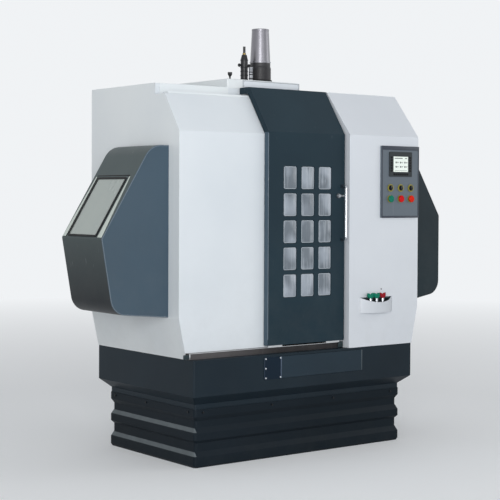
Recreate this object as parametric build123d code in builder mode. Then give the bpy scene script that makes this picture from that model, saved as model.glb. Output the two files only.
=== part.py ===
from build123d import *
import os
from math import cos, hypot, radians, sin

os.makedirs("parts", exist_ok=True)

# All sizes are in millimetres. X runs to the operator's right, Y to the back and Z up.
# The origin is on the floor, under the middle of the pedestal.

# Enclosure, tray and pedestal
enclosure_width = 1600
tray_width = 1508
tray_depth = 922
pedestal_width = 1420
pedestal_depth = 820
pedestal_height = 298
tray_neck_rise = 26
tray_neck_inset = 5
tray_chamfer_rise = 72
tray_rise = 257
taper_rise = 208
fold_drop = 253
ledge_drop = 57
column_headroom = 165
sheet = 3
bend = 5
inner_bend = 2
seam = 0.3

# Pedestal
rib_depth = 13
pedestal_wall = 6
pedestal_deck = 8
pedestal_corner = 16
foot_flange_width = 70
foot_flange_thickness = 12
anchor_spacing_x = 1312
anchor_spacing_y = 712
anchor_hole = 18

# Tray
tray_wall = 4
tray_corner = 8
tray_floor_rise = 94
tray_floor = 8
tray_cell_width = 470
tray_cell_depth = 780
rim_width = 62
rim_front = 87
rim_back = 15

# Front panel and its door opening
panel_recess = 65
ledge_front = 262
rail_wall_front = 172
opening_left = -242
opening_right = 262
opening_head = 12
opening_margin = 20

# Control section on the right
section_fold_rise = 10
section_roof_front = 265
section_return = 22

# Sliding door
door_lap_left = 20
door_lap_right = 6
door_recess = 27
door_foot_rise = 43
door_fold_rise = 10
door_roof_front = 268
door_sheet = 2
door_gap = 4
door_travel = 480
header_back = 180
header_drop = 34
header_round = 20
pane_width = 90
pane_height = 122
pane_pitch_x = 121
pane_pitch_z = 143.6
pane_columns = 3
pane_rows = 5
pane_corner = 9
pane_grid_x = 8
pane_head = 239
pane_frame_depth = 12
pane_margin = 22
glass_thickness = 5
glass_groove = 0.4
glass_lap = 12

# Door handle and latch
handle_inset = 18
handle_drop = 282
handle_length = 290
handle_reach = 34
handle_diameter = 12
handle_bend = 14
handle_foot_diameter = 22
handle_foot = 4
latch_inset = 28
latch_drop = 52
latch_diameter = 22
latch_boss = 7
latch_lever = 34
latch_lever_width = 9
latch_lever_thickness = 6
latch_knob_diameter = 14
latch_knob_height = 16
latch_pin_diameter = 10
latch_pin_length = 8
latch_cam = 34
latch_cam_thickness = 4

# Door rails, rollers and guides
rail_channel_front = 250
rail_channel_lip = 12
rail_channel_back_height = 57
rail_back_end = -335
rail_left = -774
track_diameter = 10
roller_diameter = 40
roller_width = 16
roller_offset = 190
axle_diameter = 10
axle_clearance = 0.08
axle_head_diameter = 16
axle_head = 4
roller_groove_diameter = 34
roller_root_width = 6
roller_rim = 1.8
roller_side_gap = 0.5
track_gap = 0.3
hanger_width = 44
hanger_foot = 14
hanger_thickness = 4
sill_drop = 10
sill_depth = 16
sill_seat = 12
sill_left = -750
guide_length = 94
guide_inset_left = 53
guide_inset_right = 79
guide_groove_width = 8
guide_groove_depth = 12
guide_clearance = 0.6

# Roof box
roof_box_left = -338
roof_box_right = 160
roof_box_height = 48
roof_box_depth = 472
roof_box_corner = 6
skirt_width = 150
skirt_thickness = 5
skirt_lip = 14
skirt_clearance = 2
skirt_edge = 3
skirt_flare = 9
skirt_bevel = 2

# Side hoods
hood_front = 300
hood_back = 88
hood_drop = 72
hood_seat = 1
hood_wall = 4
hood_flange = 24
left_hood_outline = [(-907, 110), (-1196, 15), (-1130, 90)]
left_knee_drop = 470
left_foot_rise = 30
right_hood_outline = [(907, 110), (1131, 12), (1131, 85)]
right_knee_drop = 365
right_foot_rise = 58
hood_window_width = 282
left_window_drop = 165
left_window_sill = 8
right_window_drop = 140
right_window_sill = 35
hood_window_front = 59
hood_window_corner = 12
gasket_width = 10
gasket_height = 4
hood_glass_gap = 0.5

# Control box
control_edge = 7
control_width = 286
control_drop = 54
control_height = 401
control_depth = 12
control_rim = 6
control_rim_height = 1.5
switch_pitch = 78
selector_rise = 167
button_rise = 106
collar_diameter = 42
collar_height = 5
collar_bore = 30
button_collar_height = 2
selector_diameter = 29
selector_height = 13
selector_grip_width = 9
button_diameter = 38
button_height = 8
button_round = 3
button_travel = 5
switch_stem = 16
switch_disc = 22
switch_tail = 4
screen_inset = 55
screen_width = 173
screen_rise = 230
screen_height = 139
screen_bezel_height = 5
screen_left_border = 30
screen_right_border = 29
screen_foot_border = 26
screen_head_border = 25
screen_recess = 2

# Valve pocket
pocket_inset = 73
pocket_width = 245
pocket_rise = 187
pocket_height = 86
pocket_dip = 29
pocket_bulge = 50
pocket_low_bulge = 44
pocket_recess = 42
valve_pitch = 45.5
valve_shift = -14
valve_offset = 23
valve_body_diameter = 18
valve_body_height = 44
valve_stem_diameter = 8
valve_stem_height = 16
valve_pipe_diameter = 10
valve_pipe_rise = 40
manifold_diameter = 16
valve_handle_width = 40
valve_handle_gap = 0.5
valve_hub_diameter = 14
valve_wing_dip = 6
valve_wing_rise = 11
valve_handle_height = 30
valve_handle_thickness = 10
valve_handle_sink = 6

# Base casting and column
base_width = 420
base_front_gap = 161
base_back_gap = 21
base_foot_gap = 41
base_height = 288
base_nose = 46
column_width = 300
column_depth_bottom = 215
column_depth_top = 150
column_rise = 1120
column_wall = 18
column_flange = 40
column_flange_margin = 35
column_bays = 3
casting_wall = 30
bearing_block = 20
bearing_width = 52
bearing_crown = 18
y_bearing_gap = 7
z_bracket_rise = 8

# Guides
y_rail_spacing = 280
y_rail_width = 30
y_rail_height = 28
y_rail_margin = 45
z_rail_spacing = 190
z_rail_width = 23
z_rail_height = 22
z_rail_inset = 20
z_rail_length = 668
slide_gap = 0.3
slide_depth = 4
block_width = 80
nut_width = 48

# Spindle, table and travels
spindle_y = -20
x_travel = 180
y_travel = 90
z_travel = 230
table_length = 950
table_width = 260
table_rise = 120
table_plate = 44
table_skirt = 24
slot_count = 3
slot_pitch = 63
slot_neck = 14
slot_neck_depth = 12
slot_tee = 24
slot_tee_depth = 10
saddle_width = 380
saddle_length = 250
saddle_thickness = 58
way_height = 22
way_width = 34
x_channel_width = 90

# Ball screws
screw_diameter = 20
journal_diameter = 16
running_clearance = 0.05
nut_length = 60
y_screw_rise = 20
x_screw_rise = 42
z_screw_y = 198

# Axis motors
motor_side = 76
motor_length = 64
motor_corner = 10
motor_flange = 10
motor_cap = 16

# Head and spindle
head_width = 190
head_drop = 140
head_height = 310
head_nose = 95
head_back_gap = 30
head_block_width = 60
head_block_height = 80
head_block_low = 70
nose_flange_diameter = 124
nose_flange_height = 40
spindle_shaft = 60
spindle_nose = 76
spindle_nose_height = 30
holder_diameter = 63
holder_height = 44
collet_diameter = 40
collet_height = 26
tool_diameter = 12
tool_length = 38
slot_groove = 4
motor_body_diameter = 118
motor_body_rise = 458
motor_neck = 27
motor_base_side = 130
motor_base_height = 16
cowl_bottom_diameter = 113
cowl_top_diameter = 95
cowl_height = 190
cowl_wall = 3
cowl_round = 5
motor_chamfer = 8

# Air unit and oil cup on the roof box
air_x = -112
air_y = -20
air_bowl_diameter = 40
air_shoulder = 126
air_body_height = 152
air_stem_diameter = 14
air_stem_height = 46
air_arm_height = 94
air_arm_diameter = 14
air_arm_length = 74
air_foot_width = 60
air_foot_depth = 100
air_foot_height = 6
cylinder_x = -108
cylinder_y = -76
cylinder_diameter = 22
cylinder_height = 87
oil_cup_x = -306
oil_cup_y = -150
oil_cup_diameter = 24
oil_cup_height = 36
oil_cup_neck = 9

# Chip drawer and cover plate in the tray front
drawer_left = -188
drawer_right = 380
drawer_drop = 14
drawer_height = 114
drawer_length = 330
drawer_gap = 1.5
drawer_front_thickness = 3
drawer_wall = 2
drawer_pan_height = 82
drawer_travel = 300
runner_width = 20
drawer_side_gap = 4
plate_left = -306
plate_right = -192
plate_drop = 12
plate_height = 117
plate_thickness = 3

# Electrical cabinet
cabinet_width = 760
cabinet_depth = 170
cabinet_rise = 245
cabinet_height = 850
cabinet_sheet = 2
cabinet_door_depth = 22
cabinet_gap = 2
cabinet_pin_diameter = 10
cabinet_pin_length = 60
cabinet_pin_bore = 10.1
louvre_count = 7
louvre_pitch = 28
louvre_width = 220
louvre_height = 9
louvre_rise = 130
lock_diameter = 26
lock_height = 6
hinge_barrel = 18
hinge_inset = 120
drive_count = 4
drive_width = 90
drive_height = 260
drive_depth = 110
drive_pitch = 130
terminal_height = 60

# Fasteners
screw_head_diameter = 12
screw_head_height = 5
plate_screw_diameter = 8
plate_screw_height = 3

# Places worked out from the sizes
side_x = enclosure_width / 2
tray_x = tray_width / 2
tray_front = -tray_depth / 2
tray_back = tray_depth / 2
pedestal_front = -pedestal_depth / 2
panel_front = tray_front + panel_recess
door_front = tray_front + door_recess
tray_neck_height = pedestal_height + tray_neck_rise
tray_chamfer_height = pedestal_height + tray_chamfer_rise
tray_floor_height = pedestal_height + tray_floor_rise
tray_height = pedestal_height + tray_rise
base_deck_height = tray_floor_height + base_height
base_front = tray_depth / 2 - base_front_gap
base_back = tray_depth / 2 - base_back_gap
base_foot_front = tray_depth / 2 - drawer_length - base_foot_gap
column_front = base_back - column_depth_bottom
y_bearing_back = column_front - y_bearing_gap
y_rail_length = base_front + column_front - y_rail_margin
column_height = base_deck_height + column_rise
roof_height = column_height + column_headroom
taper_height = tray_height + taper_rise
fold_height = roof_height - fold_drop
ledge_height = roof_height - ledge_drop
opening_top = fold_height - opening_head
section_left = opening_right + opening_margin
section_fold_height = fold_height + section_fold_rise
door_left = opening_left - door_lap_left
door_right = opening_right + door_lap_right
door_bottom = tray_height + door_foot_rise
door_fold_height = fold_height + door_fold_rise
door_back = panel_front - door_gap
sill_top = door_bottom - sill_drop
ledge_y = -ledge_front
rail_wall_y = -rail_wall_front
wall_top = roof_height - sheet
pane_top_row = door_fold_height - pane_head
handle_x = door_right - handle_inset
handle_high = door_fold_height - handle_drop
handle_low = handle_high - handle_length
latch_x = handle_x - latch_inset
latch_z = handle_high - latch_drop
guide_places = [door_left + guide_inset_left, door_right - guide_inset_right]
hood_top = fold_height - hood_drop
hood_bottom = taper_height + hood_seat
left_knee = hood_top - left_knee_drop
right_knee = hood_top - right_knee_drop
left_hood_heights = [hood_top, left_knee, hood_bottom + left_foot_rise]
right_hood_heights = [hood_top, right_knee, hood_bottom + right_foot_rise]
door_height = roof_height
x_ways = table_width / 2 - table_skirt - slide_gap - way_width / 2
drawer_top = tray_height - drawer_drop
drawer_bottom = drawer_top - drawer_height
drawer_pan_bottom = drawer_bottom + drawer_wall
plate_top = tray_height - plate_drop
plate_bottom = plate_top - plate_height
pocket_left = section_left + pocket_inset
pocket_right = pocket_left + pocket_width
pocket_bottom = tray_height + pocket_rise
pocket_back_height = pocket_bottom + pocket_height
pocket_front_height = pocket_back_height - pocket_dip
control_right = side_x - control_edge
control_left = control_right - control_width
control_top = section_fold_height - control_drop
control_bottom = control_top - control_height
control_centre = (control_left + control_right) / 2
runner_places = [drawer_left + 2 * runner_width, drawer_right - 2 * runner_width]
tray_cell_pitch = pedestal_width - 2 * (tray_floor + tray_corner) - tray_cell_width

# Outer lines of the folded fronts, as (Y, Z) from bottom to top
panel_line = [
    (panel_front, sill_top),
    (panel_front, fold_height),
    (ledge_y, ledge_height),
    (rail_wall_y, ledge_height),
    (rail_wall_y, wall_top - seam),
]
section_line = [
    (tray_front, tray_height),
    (tray_front, section_fold_height),
    (-section_roof_front, wall_top - seam),
]
door_line = [
    (door_front, door_bottom),
    (door_front, door_fold_height),
    (-door_roof_front, door_height),
    (-header_back, door_height),
]


# A folded line moved inwards, which is to its right as it is drawn
def moved_in(path, gap):
    runs = []
    for (y0, z0), (y1, z1) in zip(path, path[1:]):
        length = hypot(y1 - y0, z1 - z0)
        step_y = (z1 - z0) / length * gap
        step_z = (y0 - y1) / length * gap
        runs.append((y0 + step_y, z0 + step_z, y1 + step_y, z1 + step_z))
    corners = [runs[0][:2]]
    for (ay, az, by, bz), (cy, cz, dy, dz) in zip(runs, runs[1:]):
        cross = (by - ay) * (dz - cz) - (bz - az) * (dy - cy)
        share = ((cy - ay) * (dz - cz) - (cz - az) * (dy - cy)) / cross
        corners.append((ay + share * (by - ay), az + share * (bz - az)))
    corners.append(runs[-1][2:])
    return corners


# Half the width of the enclosure at a height: the walls lean in below the taper
def wall_x(height):
    if height >= taper_height:
        return side_x
    share = (taper_height - height) / (taper_height - tray_height)
    return side_x - share * (side_x - tray_x)


# A sheet folded along a (Y, Z) line, between two places along X
def folded_sheet(path, thickness, x0, x1, radius):
    with BuildPart() as folded:
        with BuildSketch(Plane.YZ.offset(x0)):
            with BuildLine():
                FilletPolyline(*path, radius=radius)
                offset(amount=thickness, side=Side.RIGHT, closed=True)
            make_face()
        extrude(amount=x1 - x0)
    return folded.part


# The wedge outside a leaning wall, to trim a front or back sheet
def taper_wedge(side, y0, y1, inset):
    low = tray_height - sheet
    high_x = side_x - inset
    low_x = wall_x(low + sheet) - inset
    with BuildPart() as wedge:
        with BuildSketch(Plane.XZ.offset(-y1)):
            with BuildLine():
                Polyline(
                    (side * high_x, taper_height),
                    (side * (side_x + sheet), taper_height),
                    (side * (side_x + sheet), low),
                    (side * low_x, low),
                    close=True,
                )
            make_face()
        extrude(amount=y1 - y0)
    return wedge.part


# Pedestal: a folded and ribbed steel stand, hollow, with a flange round its foot
pedestal_profile = [
    (0, 6),
    (12, 0),
    (54, 0),
    (82, rib_depth),
    (125, rib_depth),
    (140, 0),
    (176, 0),
    (204, rib_depth),
    (238, rib_depth),
    (260, 0),
    (pedestal_height, 0),
]

with BuildPart() as pedestal:
    for height, inset in pedestal_profile:
        with BuildSketch(Plane.XY.offset(height)):
            RectangleRounded(pedestal_width - 2 * inset, pedestal_depth - 2 * inset, pedestal_corner)
    loft(ruled=True)
    cavity_width = pedestal_width - 2 * (rib_depth + pedestal_wall)
    cavity_depth = pedestal_depth - 2 * (rib_depth + pedestal_wall)
    with BuildSketch(Plane.XY.offset(foot_flange_thickness)):
        Rectangle(cavity_width, cavity_depth)
    extrude(amount=pedestal_height - pedestal_deck - foot_flange_thickness, mode=Mode.SUBTRACT)
    with BuildSketch(Plane.XY):
        Rectangle(cavity_width - 2 * foot_flange_width, cavity_depth - 2 * foot_flange_width)
        with GridLocations(anchor_spacing_x, anchor_spacing_y, 2, 2):
            Circle(anchor_hole / 2)
    extrude(amount=foot_flange_thickness, mode=Mode.SUBTRACT)
pedestal.part.label = "pedestal"
export_step(pedestal.part, "parts/pedestal.step")

# Tray: a deep coolant pan with a chamfered underside and a rim that carries the walls
with BuildPart() as tray:
    tray_sections = [
        (pedestal_height, tray_neck_inset),
        (tray_neck_height, tray_neck_inset),
        (tray_chamfer_height, None),
        (tray_height, None),
    ]
    for height, inset in tray_sections:
        wide = tray_width if inset is None else pedestal_width - 2 * inset
        deep = tray_depth if inset is None else pedestal_depth - 2 * inset
        with BuildSketch(Plane.XY.offset(height)):
            RectangleRounded(wide, deep, tray_corner)
    loft(ruled=True)
    with BuildSketch(Plane.XY.offset(tray_floor_height)):
        RectangleRounded(tray_width - 2 * tray_wall, tray_depth - 2 * tray_wall, tray_corner - tray_wall)
    extrude(amount=tray_height - tray_wall - tray_floor_height, mode=Mode.SUBTRACT)
    with BuildSketch(Plane.XY.offset(tray_height - tray_wall)):
        with Locations((0, (rim_front - rim_back) / 2)):
            Rectangle(tray_width - 2 * rim_width, tray_depth - rim_front - rim_back)
    extrude(amount=tray_wall, mode=Mode.SUBTRACT)
    with BuildSketch(Plane.XY.offset(pedestal_height)):
        with GridLocations(tray_cell_pitch, 0, 2, 1):
            Rectangle(tray_cell_width, tray_cell_depth)
    extrude(amount=tray_floor_height - tray_floor - pedestal_height, mode=Mode.SUBTRACT)
    with BuildSketch(Plane.XZ.offset(-tray_front - tray_wall)):
        with Locations(((drawer_left + drawer_right) / 2, (drawer_bottom + drawer_top) / 2)):
            Rectangle(
                drawer_right - drawer_left + 2 * drawer_gap,
                drawer_top - drawer_bottom + 2 * drawer_gap,
            )
    extrude(amount=tray_wall, mode=Mode.SUBTRACT)
    with BuildSketch(Plane.XY.offset(tray_floor_height)):
        with Locations(*[(x, tray_front + tray_wall + drawer_length / 2) for x in runner_places]):
            Rectangle(runner_width, drawer_length)
    extrude(amount=drawer_pan_bottom - seam - tray_floor_height)
tray.part.label = "tray"
export_step(tray.part, "parts/tray.step")

# Chip drawer: a pan with a front that closes flush with the tray
drawer_middle = (drawer_left + drawer_right) / 2
drawer_width = drawer_right - drawer_left
pan_width = drawer_width - 2 * drawer_side_gap

with BuildPart() as chip_drawer:
    with BuildSketch(Plane.XZ.offset(-tray_front - drawer_front_thickness)):
        with Locations((drawer_middle, (drawer_bottom + drawer_top) / 2)):
            Rectangle(drawer_width, drawer_top - drawer_bottom)
    extrude(amount=drawer_front_thickness)
    with BuildSketch(Plane.XY.offset(drawer_pan_bottom)):
        with Locations((drawer_middle, tray_front + drawer_length / 2)):
            Rectangle(pan_width, drawer_length - 2 * drawer_front_thickness)
    extrude(amount=drawer_pan_height)
    with BuildSketch(Plane.XY.offset(drawer_pan_bottom + drawer_wall)):
        with Locations((drawer_middle, tray_front + drawer_length / 2)):
            Rectangle(
                pan_width - 2 * drawer_wall,
                drawer_length - 2 * drawer_front_thickness - 2 * drawer_wall,
            )
    extrude(amount=drawer_pan_height, mode=Mode.SUBTRACT)
chip_drawer.part.label = "chip_drawer"
export_step(chip_drawer.part, "parts/chip_drawer.step")

# Cover plate beside the drawer
with BuildPart() as tray_plate:
    with BuildSketch(Plane.XZ.offset(-tray_front)):
        with Locations(((plate_left + plate_right) / 2, (plate_bottom + plate_top) / 2)):
            RectangleRounded(plate_right - plate_left, plate_top - plate_bottom, 4)
    extrude(amount=plate_thickness)
tray_plate.part.label = "tray_plate"
export_step(tray_plate.part, "parts/tray_plate.step")

# Pedestal bolts and plate screws
plate_edge = 8
bolt_drop = 16
pedestal_bolts_front = [-660, -212, 214, 640]
pedestal_bolts_side = [-350, 43, 350]
bolt_height = pedestal_height - bolt_drop
plate_screw_places = [
    (plate_left + plate_edge, plate_bottom + plate_edge),
    (plate_left + plate_edge, (plate_bottom + plate_top) / 2),
    (plate_left + plate_edge, plate_top - plate_edge),
    (plate_right - plate_edge, plate_bottom + plate_edge),
    (plate_right - plate_edge, plate_top - plate_edge),
]

with BuildPart() as cap_screws:
    with BuildSketch(Plane.XZ.offset(-pedestal_front)):
        with Locations(*[(x, bolt_height) for x in pedestal_bolts_front]):
            RegularPolygon(screw_head_diameter / 2, 6)
    extrude(amount=screw_head_height)
    for side in (-1, 1):
        with BuildSketch(Plane.YZ.offset(side * pedestal_width / 2)):
            with Locations(*[(y, bolt_height) for y in pedestal_bolts_side]):
                RegularPolygon(screw_head_diameter / 2, 6)
        extrude(amount=side * screw_head_height)
    with BuildSketch(Plane.XZ.offset(-tray_front + plate_thickness)):
        with Locations(*plate_screw_places):
            Circle(plate_screw_diameter / 2)
    extrude(amount=plate_screw_height)
cap_screws.part.label = "cap_screws"
export_step(cap_screws.part, "parts/cap_screws.step")


# Side wall: leans in at the foot, cut to the front's folded line and open to its hood
def side_wall(side, front_line):
    inner = moved_in(front_line, sheet + seam)
    (low_y, low_z), (high_y, high_z) = inner[-2:]
    lean = (high_y - low_y) / (high_z - low_z)
    inner[0] = (inner[0][0], tray_height)
    inner[-1] = (high_y + lean * (wall_top - high_z), wall_top)
    back = tray_back - sheet - seam
    with BuildPart() as wall:
        with BuildSketch(Plane.XZ.offset(-back)):
            with BuildLine():
                Polyline(
                    (side * side_x, wall_top),
                    (side * side_x, taper_height),
                    (side * tray_x, tray_height),
                    (side * (tray_x - sheet), tray_height),
                    (side * (side_x - sheet), taper_height),
                    (side * (side_x - sheet), wall_top),
                    close=True,
                )
            make_face()
        extrude(amount=back - tray_front)
        with BuildSketch(Plane.YZ.offset(-side_x - sheet)):
            with BuildLine():
                Polyline(*inner, (back, wall_top), (back, tray_height), close=True)
            make_face()
        extrude(amount=2 * (side_x + sheet), mode=Mode.INTERSECT)
        with BuildSketch(Plane.YZ.offset(side * side_x)):
            with Locations(((hood_back - hood_front) / 2, (hood_top + hood_bottom) / 2)):
                RectangleRounded(
                    hood_front + hood_back - 2 * hood_flange,
                    hood_top - hood_bottom - 2 * hood_flange,
                    hood_flange,
                )
        extrude(amount=-side * 2 * sheet, mode=Mode.SUBTRACT)
    return wall


left_side_panel = side_wall(-1, panel_line)
left_side_panel.part.label = "left_side_panel"
export_step(left_side_panel.part, "parts/left_side_panel.step")

right_side_panel = side_wall(1, section_line)
right_side_panel.part.label = "right_side_panel"
export_step(right_side_panel.part, "parts/right_side_panel.step")

# Back wall
with BuildPart() as back_panel:
    with BuildSketch(Plane.XZ.offset(-tray_back)):
        with BuildLine():
            Polyline(
                (-side_x, wall_top),
                (-side_x, taper_height),
                (-tray_x, tray_height),
                (tray_x, tray_height),
                (side_x, taper_height),
                (side_x, wall_top),
                close=True,
            )
        make_face()
    extrude(amount=sheet)
back_panel.part.label = "back_panel"
export_step(back_panel.part, "parts/back_panel.step")

# Roof, with the hole that the raised box covers
roof_box_front = -rail_wall_front
roof_box_back = roof_box_front + roof_box_depth
roof_box_middle = (roof_box_left + roof_box_right) / 2
roof_hole_margin = 22

with BuildPart() as roof_panel:
    with BuildSketch(Plane.XY.offset(wall_top)):
        with BuildLine():
            Polyline(
                (-side_x, tray_back),
                (side_x, tray_back),
                (side_x, -section_roof_front),
                (section_left, -section_roof_front),
                (section_left, rail_wall_y),
                (-side_x, rail_wall_y),
                close=True,
            )
        make_face()
        with Locations((roof_box_middle, roof_box_front + roof_box_depth / 2)):
            Rectangle(
                roof_box_right - roof_box_left - 2 * roof_hole_margin,
                roof_box_depth - 2 * roof_hole_margin,
                mode=Mode.SUBTRACT,
            )
    extrude(amount=sheet)
roof_panel.part.label = "roof_panel"
export_step(roof_panel.part, "parts/roof_panel.step")

# Front panel: one folded sheet from the sill up over the ledge, with the door opening
with BuildPart() as front_panel:
    add(folded_sheet(panel_line, sheet, -side_x, section_left - seam, [bend, bend, inner_bend]))
    add(taper_wedge(-1, panel_front - sheet, panel_front + 2 * sheet, 0), mode=Mode.SUBTRACT)
    with BuildSketch(Plane.XZ.offset(-panel_front - 2 * sheet)):
        with Locations(((opening_left + opening_right) / 2, (opening_top + sill_top) / 2)):
            Rectangle(opening_right - opening_left, opening_top - sill_top)
        with Locations(((opening_left + opening_right) / 2, sill_top)):
            Rectangle(opening_right - opening_left, 4 * sheet)
    extrude(amount=4 * sheet, both=True, mode=Mode.SUBTRACT)
front_panel.part.label = "front_panel"
export_step(front_panel.part, "parts/front_panel.step")

# Control section: the proud folded front on the right, with the return behind the door's edge
pocket_middle = (pocket_left + pocket_right) / 2
wiring_margin = 24

with BuildPart() as control_section:
    add(folded_sheet(section_line, sheet, section_left, side_x, bend))
    add(taper_wedge(1, tray_front - sheet, tray_front + 2 * sheet, 0), mode=Mode.SUBTRACT)
    return_front = moved_in(section_line, sheet)
    return_back = moved_in(panel_line[1:], -section_return + 2 * sheet)
    with BuildSketch(Plane.YZ.offset(section_left)):
        with BuildLine():
            Polyline(
                *return_front,
                (rail_wall_y + section_return, wall_top - seam),
                (rail_wall_y + section_return, ledge_height - section_return),
                (ledge_y + section_return, ledge_height - section_return),
                (panel_front + section_return, fold_height - section_return),
                (panel_front + section_return, tray_height),
                close=True,
            )
        make_face()
    extrude(amount=sheet)
    with BuildSketch(Plane.XZ.offset(-tray_front - 2 * sheet)):
        with Locations((pocket_middle, (pocket_bottom + pocket_back_height) / 2)):
            Rectangle(
                pocket_right - pocket_left - 4 * sheet,
                pocket_back_height - pocket_bottom - 4 * sheet,
            )
        with Locations((control_centre, (control_bottom + control_top) / 2)):
            Rectangle(
                control_right - control_left - 2 * wiring_margin,
                control_top - control_bottom - 2 * wiring_margin,
            )
    extrude(amount=3 * sheet, mode=Mode.SUBTRACT)
control_section.part.label = "control_section"
export_step(control_section.part, "parts/control_section.step")

# Raised box on the roof, open below, with a round hole for the spindle motor
with BuildPart() as roof_box:
    with BuildSketch(Plane.XY.offset(roof_height)):
        with Locations((roof_box_middle, roof_box_front + roof_box_depth / 2)):
            Rectangle(roof_box_right - roof_box_left, roof_box_depth)
    extrude(amount=roof_box_height)
    upper_edges = roof_box.edges().group_by(Axis.Z)[-1]
    upright_edges = roof_box.edges().filter_by(Axis.Z)
    fillet(upper_edges + upright_edges, roof_box_corner)
    with BuildSketch(Plane.XY.offset(roof_height)):
        with Locations((roof_box_middle, roof_box_front + roof_box_depth / 2)):
            Rectangle(roof_box_right - roof_box_left - 2 * sheet, roof_box_depth - 2 * sheet)
    extrude(amount=roof_box_height - sheet, mode=Mode.SUBTRACT)
    with BuildSketch(Plane.XY.offset(roof_height + roof_box_height - sheet)):
        with Locations((0, spindle_y)):
            Circle(skirt_width / 2 - skirt_lip)
    extrude(amount=sheet, mode=Mode.SUBTRACT)
roof_box.part.label = "roof_box"
export_step(roof_box.part, "parts/roof_box.step")

# Rubber skirt that wipes round the spindle motor
roof_box_top = roof_height + roof_box_height
motor_radius = motor_body_diameter / 2

with BuildPart() as motor_skirt:
    with BuildSketch(Plane.XZ.offset(-spindle_y)):
        with BuildLine():
            Polyline(
                (motor_radius + skirt_clearance, roof_box_top + skirt_thickness + skirt_lip),
                (motor_radius + skirt_clearance + skirt_edge, roof_box_top + skirt_thickness + skirt_lip),
                (motor_radius + skirt_clearance + skirt_flare, roof_box_top + skirt_thickness),
                (skirt_width / 2 - skirt_bevel, roof_box_top + skirt_thickness),
                (skirt_width / 2, roof_box_top),
                (motor_radius + skirt_clearance + skirt_bevel, roof_box_top),
                close=True,
            )
        make_face()
    revolve(axis=Axis((0, spindle_y, 0), (0, 0, 1)))
motor_skirt.part.label = "motor_skirt"
export_step(motor_skirt.part, "parts/motor_skirt.step")

# Upper door rail: a channel on the ledge with a round track for the rollers
track_y = -(rail_channel_front + rail_wall_front) / 2
track_top = ledge_height + sheet + track_diameter * 0.7

with BuildPart() as upper_rail:
    channel_back = rail_wall_y - seam
    with BuildSketch(Plane.YZ.offset(rail_left)):
        with BuildLine():
            Polyline(
                (-rail_channel_front, ledge_height + rail_channel_lip),
                (-rail_channel_front, ledge_height),
                (channel_back - inner_bend, ledge_height),
                (channel_back, ledge_height + inner_bend),
                (channel_back, ledge_height + sheet),
                (-rail_channel_front + sheet, ledge_height + sheet),
                (-rail_channel_front + sheet, ledge_height + rail_channel_lip),
                close=True,
            )
        make_face()
    extrude(amount=door_right - rail_left)
    with BuildSketch(Plane.YZ.offset(rail_left)):
        with Locations((channel_back - sheet / 2, ledge_height + rail_channel_back_height / 2)):
            Rectangle(sheet, rail_channel_back_height - 2 * inner_bend)
    extrude(amount=rail_back_end - rail_left)
    with BuildSketch(Plane.YZ.offset(rail_left)):
        with Locations((track_y, track_top - track_diameter / 2)):
            Circle(track_diameter / 2)
        with Locations((track_y, ledge_height)):
            Rectangle(2 * track_diameter, 2 * sheet, mode=Mode.SUBTRACT)
    extrude(amount=door_right - rail_left)
upper_rail.part.label = "upper_rail"
export_step(upper_rail.part, "parts/upper_rail.step")

# Lower door rail: the sill bar with a groove for the door's guides
sill_front = panel_front - sill_depth
groove_y = sill_front + sill_depth / 2

with BuildPart() as lower_rail:
    with BuildSketch(Plane.YZ.offset(sill_left)):
        with BuildLine():
            Polyline(
                (sill_front, tray_height),
                (sill_front, sill_top - 2),
                (sill_front + 2, sill_top),
                (panel_front + sill_seat, sill_top),
                (panel_front + sill_seat, tray_height),
                close=True,
            )
        make_face()
        with Locations((groove_y, sill_top)):
            Rectangle(guide_groove_width, 2 * guide_groove_depth, mode=Mode.SUBTRACT)
    extrude(amount=section_left - seam - sill_left)
lower_rail.part.label = "lower_rail"
export_step(lower_rail.part, "parts/lower_rail.step")


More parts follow.
